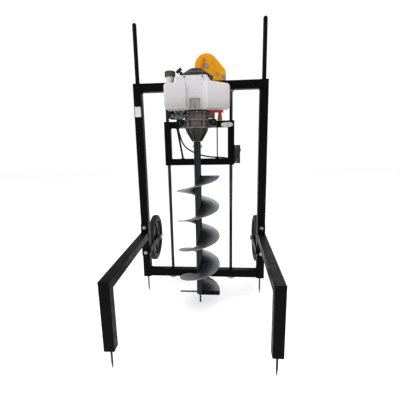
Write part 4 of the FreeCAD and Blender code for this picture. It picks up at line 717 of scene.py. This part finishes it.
# Seams of the flight on the tube: helices just over and under the sheet
flightSeams = {"radius": 17.0, "footZ": 72, "pitch": 145, "turns": 4, "rows": 900, "beads": ((4.9, 1.7), (-0.9, 1.5))}
turn = np.linspace(0, 2 * math.pi * flightSeams["turns"], flightSeams["rows"])
seamParts = []
for lift, radius in flightSeams["beads"]:
    helix = np.stack([engineX + flightSeams["radius"] * np.cos(turn), engineY + flightSeams["radius"] * np.sin(turn),
                      flightSeams["footZ"] + flightSeams["pitch"] * turn / (2 * math.pi) + lift], -1)
    seamParts.append(bead(placed(helix), radius))
addPiece("flightWelds", seamParts, "bit_black", "drill", 60)
print("welds ready")

# Winch rope: six strands laid round each other, from the lug up and over the barrel, and the turns on it
rope = {"x": 11.2, "y": 47.2, "footZ": 931.0, "drumX": 34.0, "drumZ": 1160.0, "around": 22.8, "endTurn": -0.62,
        "straightRows": 150, "overRows": 90, "offset": 1.5, "strand": 1.0, "strands": 6, "lay": 17.0}
coil = {"turns": 5, "y": 16.9, "step": 5.0, "radius": 22.5, "rows": 340,
        "core": [(14.6, 19.8), (14.6, 22.6), (44.2, 22.6), (44.2, 19.8), (14.6, 19.8)]}


def strandsAlong(path, sides, first=0, last=None):
    # strand centres turn round the path once per lay; only the rows first..last are made
    side, other = framesAlong(path)[1:]
    length = lengthAlong(path) * 1000
    parts = []
    for strand in range(rope["strands"]):
        turn = 2 * math.pi * (length / rope["lay"] + strand / rope["strands"])
        centre = path + rope["offset"] / 1000 * (np.cos(turn)[:, None] * side + np.sin(turn)[:, None] * other)
        parts.append(tubeAlong(centre[first:last], rope["strand"] / 1000, sides))
    return parts


def roundDrum(turn, radius, y):
    # points round the drum's axis at the given turns
    return np.stack([rope["drumX"] + radius * np.cos(turn), np.broadcast_to(y, turn.shape),
                     rope["drumZ"] + radius * np.sin(turn)], -1)


rows, ones = rope["straightRows"], np.ones(rope["straightRows"])
straight = np.stack([rope["x"] * ones, rope["y"] * ones, np.linspace(rope["footZ"], rope["drumZ"], rows)], -1)
turn = np.linspace(math.pi, math.pi * rope["endTurn"], rope["overRows"])[1:]
hanging = placed(np.concatenate([straight, roundDrum(turn, rope["around"], rope["y"])]))
topRow = rows + int(np.argmin(np.abs(turn)))
hangingRope = addPiece("hangingRope", strandsAlong(hanging, 6, 0, topRow), "wire_rope")
addPiece("ropeOverDrum", strandsAlong(hanging, 6, topRow - 1), "wire_rope", "frame")
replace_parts(hangingRope, "winch_rope")
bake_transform(hangingRope)
turn = np.linspace(0, 2 * math.pi * coil["turns"], coil["rows"])
wound = placed(roundDrum(turn, coil["radius"], coil["y"] + coil["step"] * turn / (2 * math.pi)))
core = turnedAbout(coil["core"], at(rope["drumX"], 0, rope["drumZ"]), (0, 1, 0))
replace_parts(addPiece("ropeCoil", strandsAlong(wound, 5) + [core], "wire_rope", "drum"), "rope_windings")

# Cord of the pull starter, drawn out of its boss by the handle
pull = {"handle": (-78, -126, 1112), "tilt": 51, "from": -0.022, "to": -0.012, "rows": 13, "radius": 0.0014}
pullTilt = math.radians(pull["tilt"])
pullWay = np.array([-math.cos(pullTilt), 0, math.sin(pullTilt)])
cordLine = at(*pull["handle"]) + pullWay * np.linspace(pull["from"], pull["to"], pull["rows"])[:, None]
starterCord = addPiece("starterCord", [tubeAlong(cordLine, pull["radius"])], "cable_black")
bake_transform(starterCord)
print("ropes ready")

# Tyres with slanted grooves in the crown and two grooves round it; the sides are plain
tyre = {"axleY": 225.0, "axleZ": 245.0, "inner": 112.5, "outer": 136.5, "x": 289.7, "width": 31.0, "blocks": 30,
        "slant": 2.2, "groove": 2.4, "slantEdge": (0.35, 4), "crownEdge": (0.55, 6), "ringPlace": 0.22, "ringEdge": 18,
        "ringCrown": 0.8, "flatness": 0.55, "fullness": 0.6, "around": 300, "across": 36}


def tyreShape(side):
    # superellipse section; in the crown a slanted square wave sinks the grooves, and so do two level rings
    place = np.linspace(-1, 1, tyre["across"])
    turn = place * math.pi * 0.5
    x = np.sign(np.sin(turn)) * np.abs(np.sin(turn)) ** tyre["flatness"]
    rise = np.abs(np.cos(turn)) ** tyre["fullness"]
    place, around = np.meshgrid(place, ringOf(tyre["around"]))
    wave = np.sin(tyre["blocks"] * around + np.abs(place) * tyre["slant"] * math.pi)
    (slantFrom, slantSteep), (crownFrom, crownSteep) = tyre["slantEdge"], tyre["crownEdge"]
    slanted = np.clip((wave - slantFrom) * slantSteep, 0, 1) * np.clip((rise[None] - crownFrom) * crownSteep, 0, 1)
    level = np.clip(1 - np.abs(np.abs(x[None]) - tyre["ringPlace"]) * tyre["ringEdge"], 0, 1)
    level = level * (rise[None] > tyre["ringCrown"])
    radius = tyre["inner"] + (tyre["outer"] - tyre["inner"]) * rise[None] - tyre["groove"] * np.maximum(slanted, level)
    across = np.broadcast_to((x * tyre["width"] / 2)[None], radius.shape)
    points = np.stack([side * (tyre["x"] + tyre["width"] / 2 + across), tyre["axleY"] + radius * np.cos(around),
                       tyre["axleZ"] + radius * np.sin(around)], -1)
    return placed(points.reshape(-1, 3)), gridFaces(tyre["around"], tyre["across"], True)


for side, name in ((-1, "left"), (1, "right")):
    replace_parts(addPiece(name + "TyreTread", [tyreShape(side)], "tyre_black", name + "_wheel", 30),
                name + "_tyre")
print("tyres ready")

# Screws: socket heads on washers, as (place, axis, radius)
caseRing = {"radius": 61, "z": 937, "angles": (-0.62, 0.1, 0.66), "size": 2.4}
flangeRing = {"radius": 51, "z": 870, "angles": (0.0, 1.05, 2.09, 3.14, 4.19, 5.24), "size": 2.6}
caseScrews = [((engineX + caseRing["radius"] * math.sin(a), engineY - caseRing["radius"] * math.cos(a), caseRing["z"]),
               (math.sin(a), -math.cos(a), 0), caseRing["size"]) for a in caseRing["angles"]]
flangeScrews = [(aroundEngine(flangeRing["radius"], a, flangeRing["z"]), (0, 0, -1), flangeRing["size"])
                for a in flangeRing["angles"]]
screws = {
    "crankcaseScrews": ("carriage", "zinc_steel", caseScrews),
    "tankScrews": ("carriage", "zinc_steel", [((-5, -196.6, 953), forward, 4.6)]),
    "bossScrews": ("carriage", "spike_steel", [((-44, -214.0, 1066.6), (0, -1, 0.3), 2.3),
                                               ((29, -214.0, 1065.6), (0, -1, 0.3), 2.3)]),
    "flangeScrews": ("carriage", "zinc_steel", flangeScrews),
    "muffleScrews": ("carriage", "zinc_steel", [((105, -16, z), (0, 1, 0), 3.0) for z in (975, 1008)]),
    "controlScrews": ("carriage", "zinc_steel", [((174, -14, z), forward, 2.4) for z in (782, 712)]),
}
# from the washer's foot to the socket: height, height as a share of the radius, and width as a share of it
screwProfile = [(-0.5, 0, 0), (-0.5, 0, 1.6), (0.5, 0, 1.6), (0.6, 0, 1.02), (0, 0.9, 1), (0, 1.05, 0.86),
                (0, 1.05, 0.55), (0, 0.4, 0.5), (0, 0.4, 0)]


def screwHead(place, axis, radius):
    head = [(height + share * radius, wide * radius) for height, share, wide in screwProfile]
    return turnedAbout(head, at(*place), axis, 24)


for name, (body, finishName, entries) in screws.items():
    addPiece(name, [screwHead(*entry) for entry in entries], finishName, body, 30)
print("screws ready")

# Blank plates: a superellipse outline facing the front, one ring for every (share, rise) of the profile
plates = {
    "postLabel": ("frame", (-305.5, 0, 961), (15.0, 24.0), 14.0, "labelPlate"),
    "carriagePlate": ("carriage", (129.5, 4, 891), (29.0, 11.5), 2.4, "ovalPlate"),
}
plateProfile = [(0.0, -0.2), (1.0, -0.2), (1.0, 0.45), (0.985, 0.6), (0.94, 0.6), (0.925, 0.45), (0.0, 0.45)]


def faceplate(centre, half, power, sides=96):
    # half sizes times the signed cosine and sine, each to the power of two over the outline's power
    cos, sin = np.cos(ringOf(sides)), np.sin(ringOf(sides))
    outline = np.stack([half[0] * np.sign(cos) * np.abs(cos) ** (2 / power), np.zeros(sides),
                        half[1] * np.sign(sin) * np.abs(sin) ** (2 / power)], -1)
    profile = np.asarray(plateProfile)
    points = outline[None] * profile[:, :1, None] - np.array([0, 1, 0]) * profile[:, 1:, None]
    return at(*centre) + points.reshape(-1, 3) / 1000, gridFaces(len(profile), sides)


for name, (body, centre, half, power, finishName) in plates.items():
    addPiece(name, [faceplate(centre, half, power)], finishName, body, 25)

# Plug boot with its lead: a ribbed rubber sleeve on the plug and a lead that goes up behind the tank
boot = {
    "x": 97.0, "y": -60.0, "leadRadius": 2.8,
    "profile": [(906, 0), (906, 9.5), (908, 11.4), (912, 11.6), (914, 10.2), (916, 11.0), (918, 11.0), (920, 9.8),
                (922, 10.4), (924, 10.4), (926, 9.0), (934, 8.2), (946, 8.0), (952, 8.8), (956, 8.8), (958, 6.0),
                (958, 0)],
    "lead": [(97, -60, 955), (98, -59, 966), (103, -56, 974), (110, -50, 980), (112, -42, 986), (107, -33, 990),
             (98, -28, 992)],
}


def smoothPath(points, count=80):
    # Catmull-Rom curve through the points, in millimetres
    points = np.asarray(points, float)
    points = np.concatenate([[2 * points[0] - points[1]], points, [2 * points[-1] - points[-2]]])
    spans = len(points) - 3
    place = np.linspace(0, spans, count)
    index = np.minimum(place.astype(int), spans - 1)
    part = (place - index)[:, None]
    before, first, second, after = (points[index + step] for step in range(4))
    curve = 0.5 * (2 * first + (second - before) * part + (2 * before - 5 * first + 4 * second - after) * part ** 2
                   + (3 * first - before - 3 * second + after) * part ** 3)
    return placed(curve)


sleeve = turnedAbout(boot["profile"], at(boot["x"], boot["y"], 0), upward, 40)
addPiece("plugBoot", [sleeve], "bootOrange", "carriage", 35)
lead = tubeAlong(smoothPath(boot["lead"]), boot["leadRadius"] / 1000, 16)
addPiece("plugLead", [lead], "cable_black", "carriage")

# Fuel lines from the foot of the tank to the carburettor, each with a spring clip near both ends
fuelLines = {
    "feedLine": ([(-98, -150, 946), (-98, -149, 934), (-94, -140, 922), (-86, -128, 916), (-80, -114, 918)], 2.6),
    "returnLine": ([(-62, -152, 946), (-63, -150, 936), (-67, -142, 927), (-72, -131, 922), (-74, -116, 922)], 2.4),
}
clip = {"rows": (6, 62), "half": 2, "wall": 1}
for name, (points, radius) in fuelLines.items():
    line = smoothPath(points, 70)
    band = [(-clip["half"], radius), (-clip["half"], radius + clip["wall"]), (clip["half"], radius + clip["wall"]),
            (clip["half"], radius), (-clip["half"], radius)]
    clips = [turnedAbout(band, line[row], line[row + 1] - line[row], 20) for row in clip["rows"]]
    addPiece(name, [tubeAlong(line, radius / 1000, 14)], "fuelHose", "carriage")
    addPiece(name + "Clips", clips, "zinc_steel", "carriage", 30)

# Tank: two rimmed bosses on the plateau, and a ring round the pocket's screw
tankBoss = {"places": ((-44, -213.6, 1066.5), (29, -213.6, 1065.5)), "axis": (0, -1, 0.3),
            "profile": [(-3, 0), (-3, 7.2), (1.8, 7.2), (2.6, 6.6), (2.6, 4.8), (0.9, 4.2), (0.9, 0)]}
pocketRing = {"place": (-5, -194.5, 953),
              "profile": [(-1, 5.6), (-1, 10.2), (2.0, 9.4), (2.6, 8.8), (2.6, 7.0), (1.6, 6.2), (1.0, 5.6), (-1, 5.6)]}
tankParts = [turnedAbout(tankBoss["profile"], at(*place), tankBoss["axis"], 36) for place in tankBoss["places"]]
tankParts.append(turnedAbout(pocketRing["profile"], at(*pocketRing["place"]), forward, 40))
addPiece("tankBosses", tankParts, "tank_white", "carriage", 40)
print("plates, boot and hoses ready")

# Mould seam round the tank: the outline's corners as (X, Z, radius), turned with short arcs
tankSeam = {
    "corners": [(-132, 943, 17), (139, 943, 17), (139, 1037, 14), (62, 1051, 8), (46, 1074.5, 12),
                (-86, 1074.5, 12), (-89, 1048, 5), (-132, 1048, 13)],
    "y": -172, "longest": 14, "steps": 8, "radius": 0.0009,
}


def roundedLoop(corners, y, longest, steps):
    # every corner becomes an arc that touches both of its sides, at most longest from the corner
    path = []
    for index, (x, z, radius) in enumerate(corners):
        corner = np.array([x, z], float)
        before = np.array(corners[index - 1][:2], float) - corner
        after = np.array(corners[(index + 1) % len(corners)][:2], float) - corner
        before, after = before / np.linalg.norm(before), after / np.linalg.norm(after)
        half = math.acos(float(np.clip(before @ after, -1, 1))) / 2
        reach = min(radius / math.tan(half), longest)
        bulge = reach * math.tan(half)
        middle = (before + after) / np.linalg.norm(before + after)
        centre = corner + middle * bulge / math.sin(half)
        first, last = corner + before * reach - centre, corner + after * reach - centre
        for share in np.linspace(0, 1, steps):
            spoke = first * (1 - share) + last * share
            path.append(centre + spoke / np.linalg.norm(spoke) * bulge)
    path = np.array(path)
    return placed(np.stack([path[:, 0], np.full(len(path), y), path[:, 1]], -1))


seamLoop = roundedLoop(tankSeam["corners"], tankSeam["y"], tankSeam["longest"], tankSeam["steps"])
addPiece("tankSeam", [tubeAlong(seamLoop, tankSeam["radius"], 8, True)], "tank_white", "carriage", 60)

# Starter cover: a stepped cap in its middle, bosses for its screws and ridges between the slots
cover = {
    "topZ": 1119, "bossRing": 66, "bossZ": 1095, "bossAngles": (0.55, 2.12, 3.69, 5.26),
    "ridgeRing": 74.3, "ridgeZ": (1084, 1076, 1068), "ridgeRadius": 0.0011,
    "cap": [(-3, 0), (-3, 27), (0.6, 27), (1.4, 26.2), (1.4, 22.5), (0.7, 21.8), (0.7, 18.5), (1.8, 17.6),
            (2.6, 14), (3.0, 8.6), (2.2, 8.0), (2.2, 0)],
    "nut": [(1.5, 0), (1.5, 5.8), (4.4, 5.4), (5.2, 4.6), (5.2, 2.4), (3.6, 2.2), (3.6, 0)],
    "boss": [(-8, 0), (-8, 5.4), (0, 5.0), (0.3, 4.6), (0.3, 0)],
    "screw": [(0, 0), (0, 3.6), (1.6, 3.4), (2.2, 2.8), (2.2, 1.5), (1.0, 1.4), (1.0, 0)],
}
coverTop = at(*engineAxis, cover["topZ"])
coverParts, coverScrews = [turnedAbout(cover["cap"], coverTop, upward, 64)], []
for angle in cover["bossAngles"]:
    place = at(*aroundEngine(cover["bossRing"], angle, cover["bossZ"]))
    coverParts.append(turnedAbout(cover["boss"], place, upward, 28))
    coverScrews.append(turnedAbout(cover["screw"], place, upward, 24))
coverScrews.append(turnedAbout(cover["nut"], coverTop, upward, 30))
for z in cover["ridgeZ"]:
    coverParts.append(tubeAlong(levelRing((*engineAxis, z), cover["ridgeRing"], 240), cover["ridgeRadius"], 8, True))
addPiece("coverDetail", coverParts, "cover_black", "carriage", 35)
addPiece("coverBolts", coverScrews, "zinc_steel", "carriage", 30)

# Crankcase: machined joint under the fan cover
joint = {"z": 937.5,
         "profile": [(-1.6, 54), (-1.6, 58.4), (-1.0, 59.0), (1.0, 59.0), (1.6, 58.4), (1.6, 54), (-1.6, 54)]}
jointRing = turnedAbout(joint["profile"], at(*engineAxis, joint["z"]), upward, 96)
addPiece("crankcaseJoint", [jointRing], "cast_aluminium", "carriage", 35)

# Carburettor: pump cover with four screws, primer bulb, idle screw with its spring
carb = {
    "place": (-81.0, -150.0, 926.0), "screwPlaces": ((-13, -10.5), (13, -10.5), (-13, 10.5), (13, 10.5)),
    "idleRise": 17.5, "spring": {"turns": 6, "rows": 260, "radius": 3, "start": 1, "length": 9, "wire": 0.0005},
    "pump": [(-1, 0), (-1, 13.0), (1.6, 13.0), (2.4, 12.2), (2.4, 9.0), (3.6, 8.2), (3.6, 0)],
    "bulb": [(3, 0), (3, 6.6), (4.6, 6.4), (6.6, 5.6), (8.4, 4.0), (9.4, 2.0), (9.8, 0)],
    "screw": [(0, 0), (0, 2.4), (1.8, 2.2), (2.2, 1.6), (2.2, 0)],
    "idle": [(-3, 0), (-3, 1.6), (11, 1.6), (11, 3.4), (14, 3.2), (14, 0)],
}
carbX, carbY, carbZ = carb["place"]
idleZ, spring = carbZ + carb["idleRise"], carb["spring"]
pump = turnedAbout(carb["pump"], at(*carb["place"]), forward, 40)
bulb = turnedAbout(carb["bulb"], at(*carb["place"]), forward, 32)
small = [turnedAbout(carb["screw"], at(carbX + x, carbY, carbZ + z), forward, 16) for x, z in carb["screwPlaces"]]
turn = np.linspace(0, 2 * math.pi * spring["turns"], spring["rows"])
wire = np.stack([carbX + spring["radius"] * np.cos(turn),
                 carbY - spring["start"] - turn / (2 * math.pi * spring["turns"]) * spring["length"],
                 idleZ + spring["radius"] * np.sin(turn)], -1)
small.append(tubeAlong(placed(wire), spring["wire"], 6))
small.append(turnedAbout(carb["idle"], at(carbX, carbY, idleZ), forward, 20))
addPiece("carburettorCover", [pump], "cast_aluminium", "carriage", 35)
addPiece("primerBulb", [bulb], "cap_black", "carriage", 50)
addPiece("carburettorScrews", small, "zinc_steel", "carriage", 35)

# Air filter: moulded ribs on its outer side, four long ones and two short ones
longRibs = {"x": -134.2, "ys": (-112, -102, -92, -82), "zs": ((925, 994),), "radius": 1.3}
shortRibs = {"x": -134.2, "ys": (-64, -56), "zs": ((925, 962),), "radius": 1.3}
filterRibs = uprightBeads(**longRibs) + uprightBeads(**shortRibs)
addPiece("filterRibs", filterRibs, "cover_black", "carriage", 50)

# Winch: studs in the front plate, and the crimped sleeve at the rope's foot
stud = {"places": ((63.0, -1, 1171.0), (2.0, -1, 1122.0), (49.7, -1, 1116.0)),
        "profile": [(-0.5, 0), (-0.5, 3.4), (1.0, 3.2), (1.9, 2.2), (2.2, 0)]}
crimp = [(936, 0), (936, 3.8), (938, 4.4), (943, 3.9), (948, 4.5), (953, 3.9), (958, 4.4), (960, 3.8), (960, 0)]
studs = [turnedAbout(stud["profile"], at(*place), forward, 20) for place in stud["places"]]
addPiece("winchStuds", studs, "pawl_orange", "frame", 50)
ropeSleeve = turnedAbout(crimp, at(rope["x"], rope["y"], 0), upward, 28)
addPiece("ropeSleeve", [ropeSleeve], "zinc_steel", "carriage", 50)
print("engine and winch details ready")

# Shroud: a lip along its foot, bent round the front corner, as a superellipse carried along a curve
skirt = {"points": [(44, -117.5, 940), (84, -117.5, 940), (103, -117.5, 940), (109, -115, 940),
                    (111.5, -109, 940), (111.5, -95, 940), (111.5, -76, 940)],
         "half": (1.3, 5.5), "power": 5, "rows": 60, "sides": 24}
angle = ringOf(skirt["sides"])
section = ((np.abs(np.cos(angle)) / skirt["half"][0]) ** skirt["power"]
           + (np.abs(np.sin(angle)) / skirt["half"][1]) ** skirt["power"]) ** (-1 / skirt["power"])
lip = tubeAlong(smoothPath(skirt["points"], skirt["rows"]), section[None] / 1000, skirt["sides"])
addPiece("shroudLip", [lip], "shroud_red", "carriage", 50)

# Shroud: cooling ribs on its side and front; muffler: pressed louvres on its rear face
sideRibs = {"x": 113.2, "ys": (-111, -102, -93, -84, -75, -66), "zs": ((953, 1017),), "radius": 1.5}
frontRibs = {"ys": (-120.2,), "zs": ((1005, 1019),), "radius": 1.4}
frontRibXs = (66, 74, 82, 90, 98)
louvre = {"xs": (83, 99), "y": -15.8, "zs": (968, 975, 982, 989), "radius": 1.6}
shroudRibs = uprightBeads(**sideRibs)
for x in frontRibXs:
    shroudRibs += uprightBeads(x, **frontRibs)
addPiece("shroudRibs", shroudRibs, "shroud_red", "carriage", 50)
(left, right), y = louvre["xs"], louvre["y"]
louvres = [straightBead((left, y, z), (right, y, z), louvre["radius"]) for z in louvre["zs"]]
addPiece("mufflerLouvres", louvres, "muffler_black", "carriage", 50)
print("ribs and louvres ready")
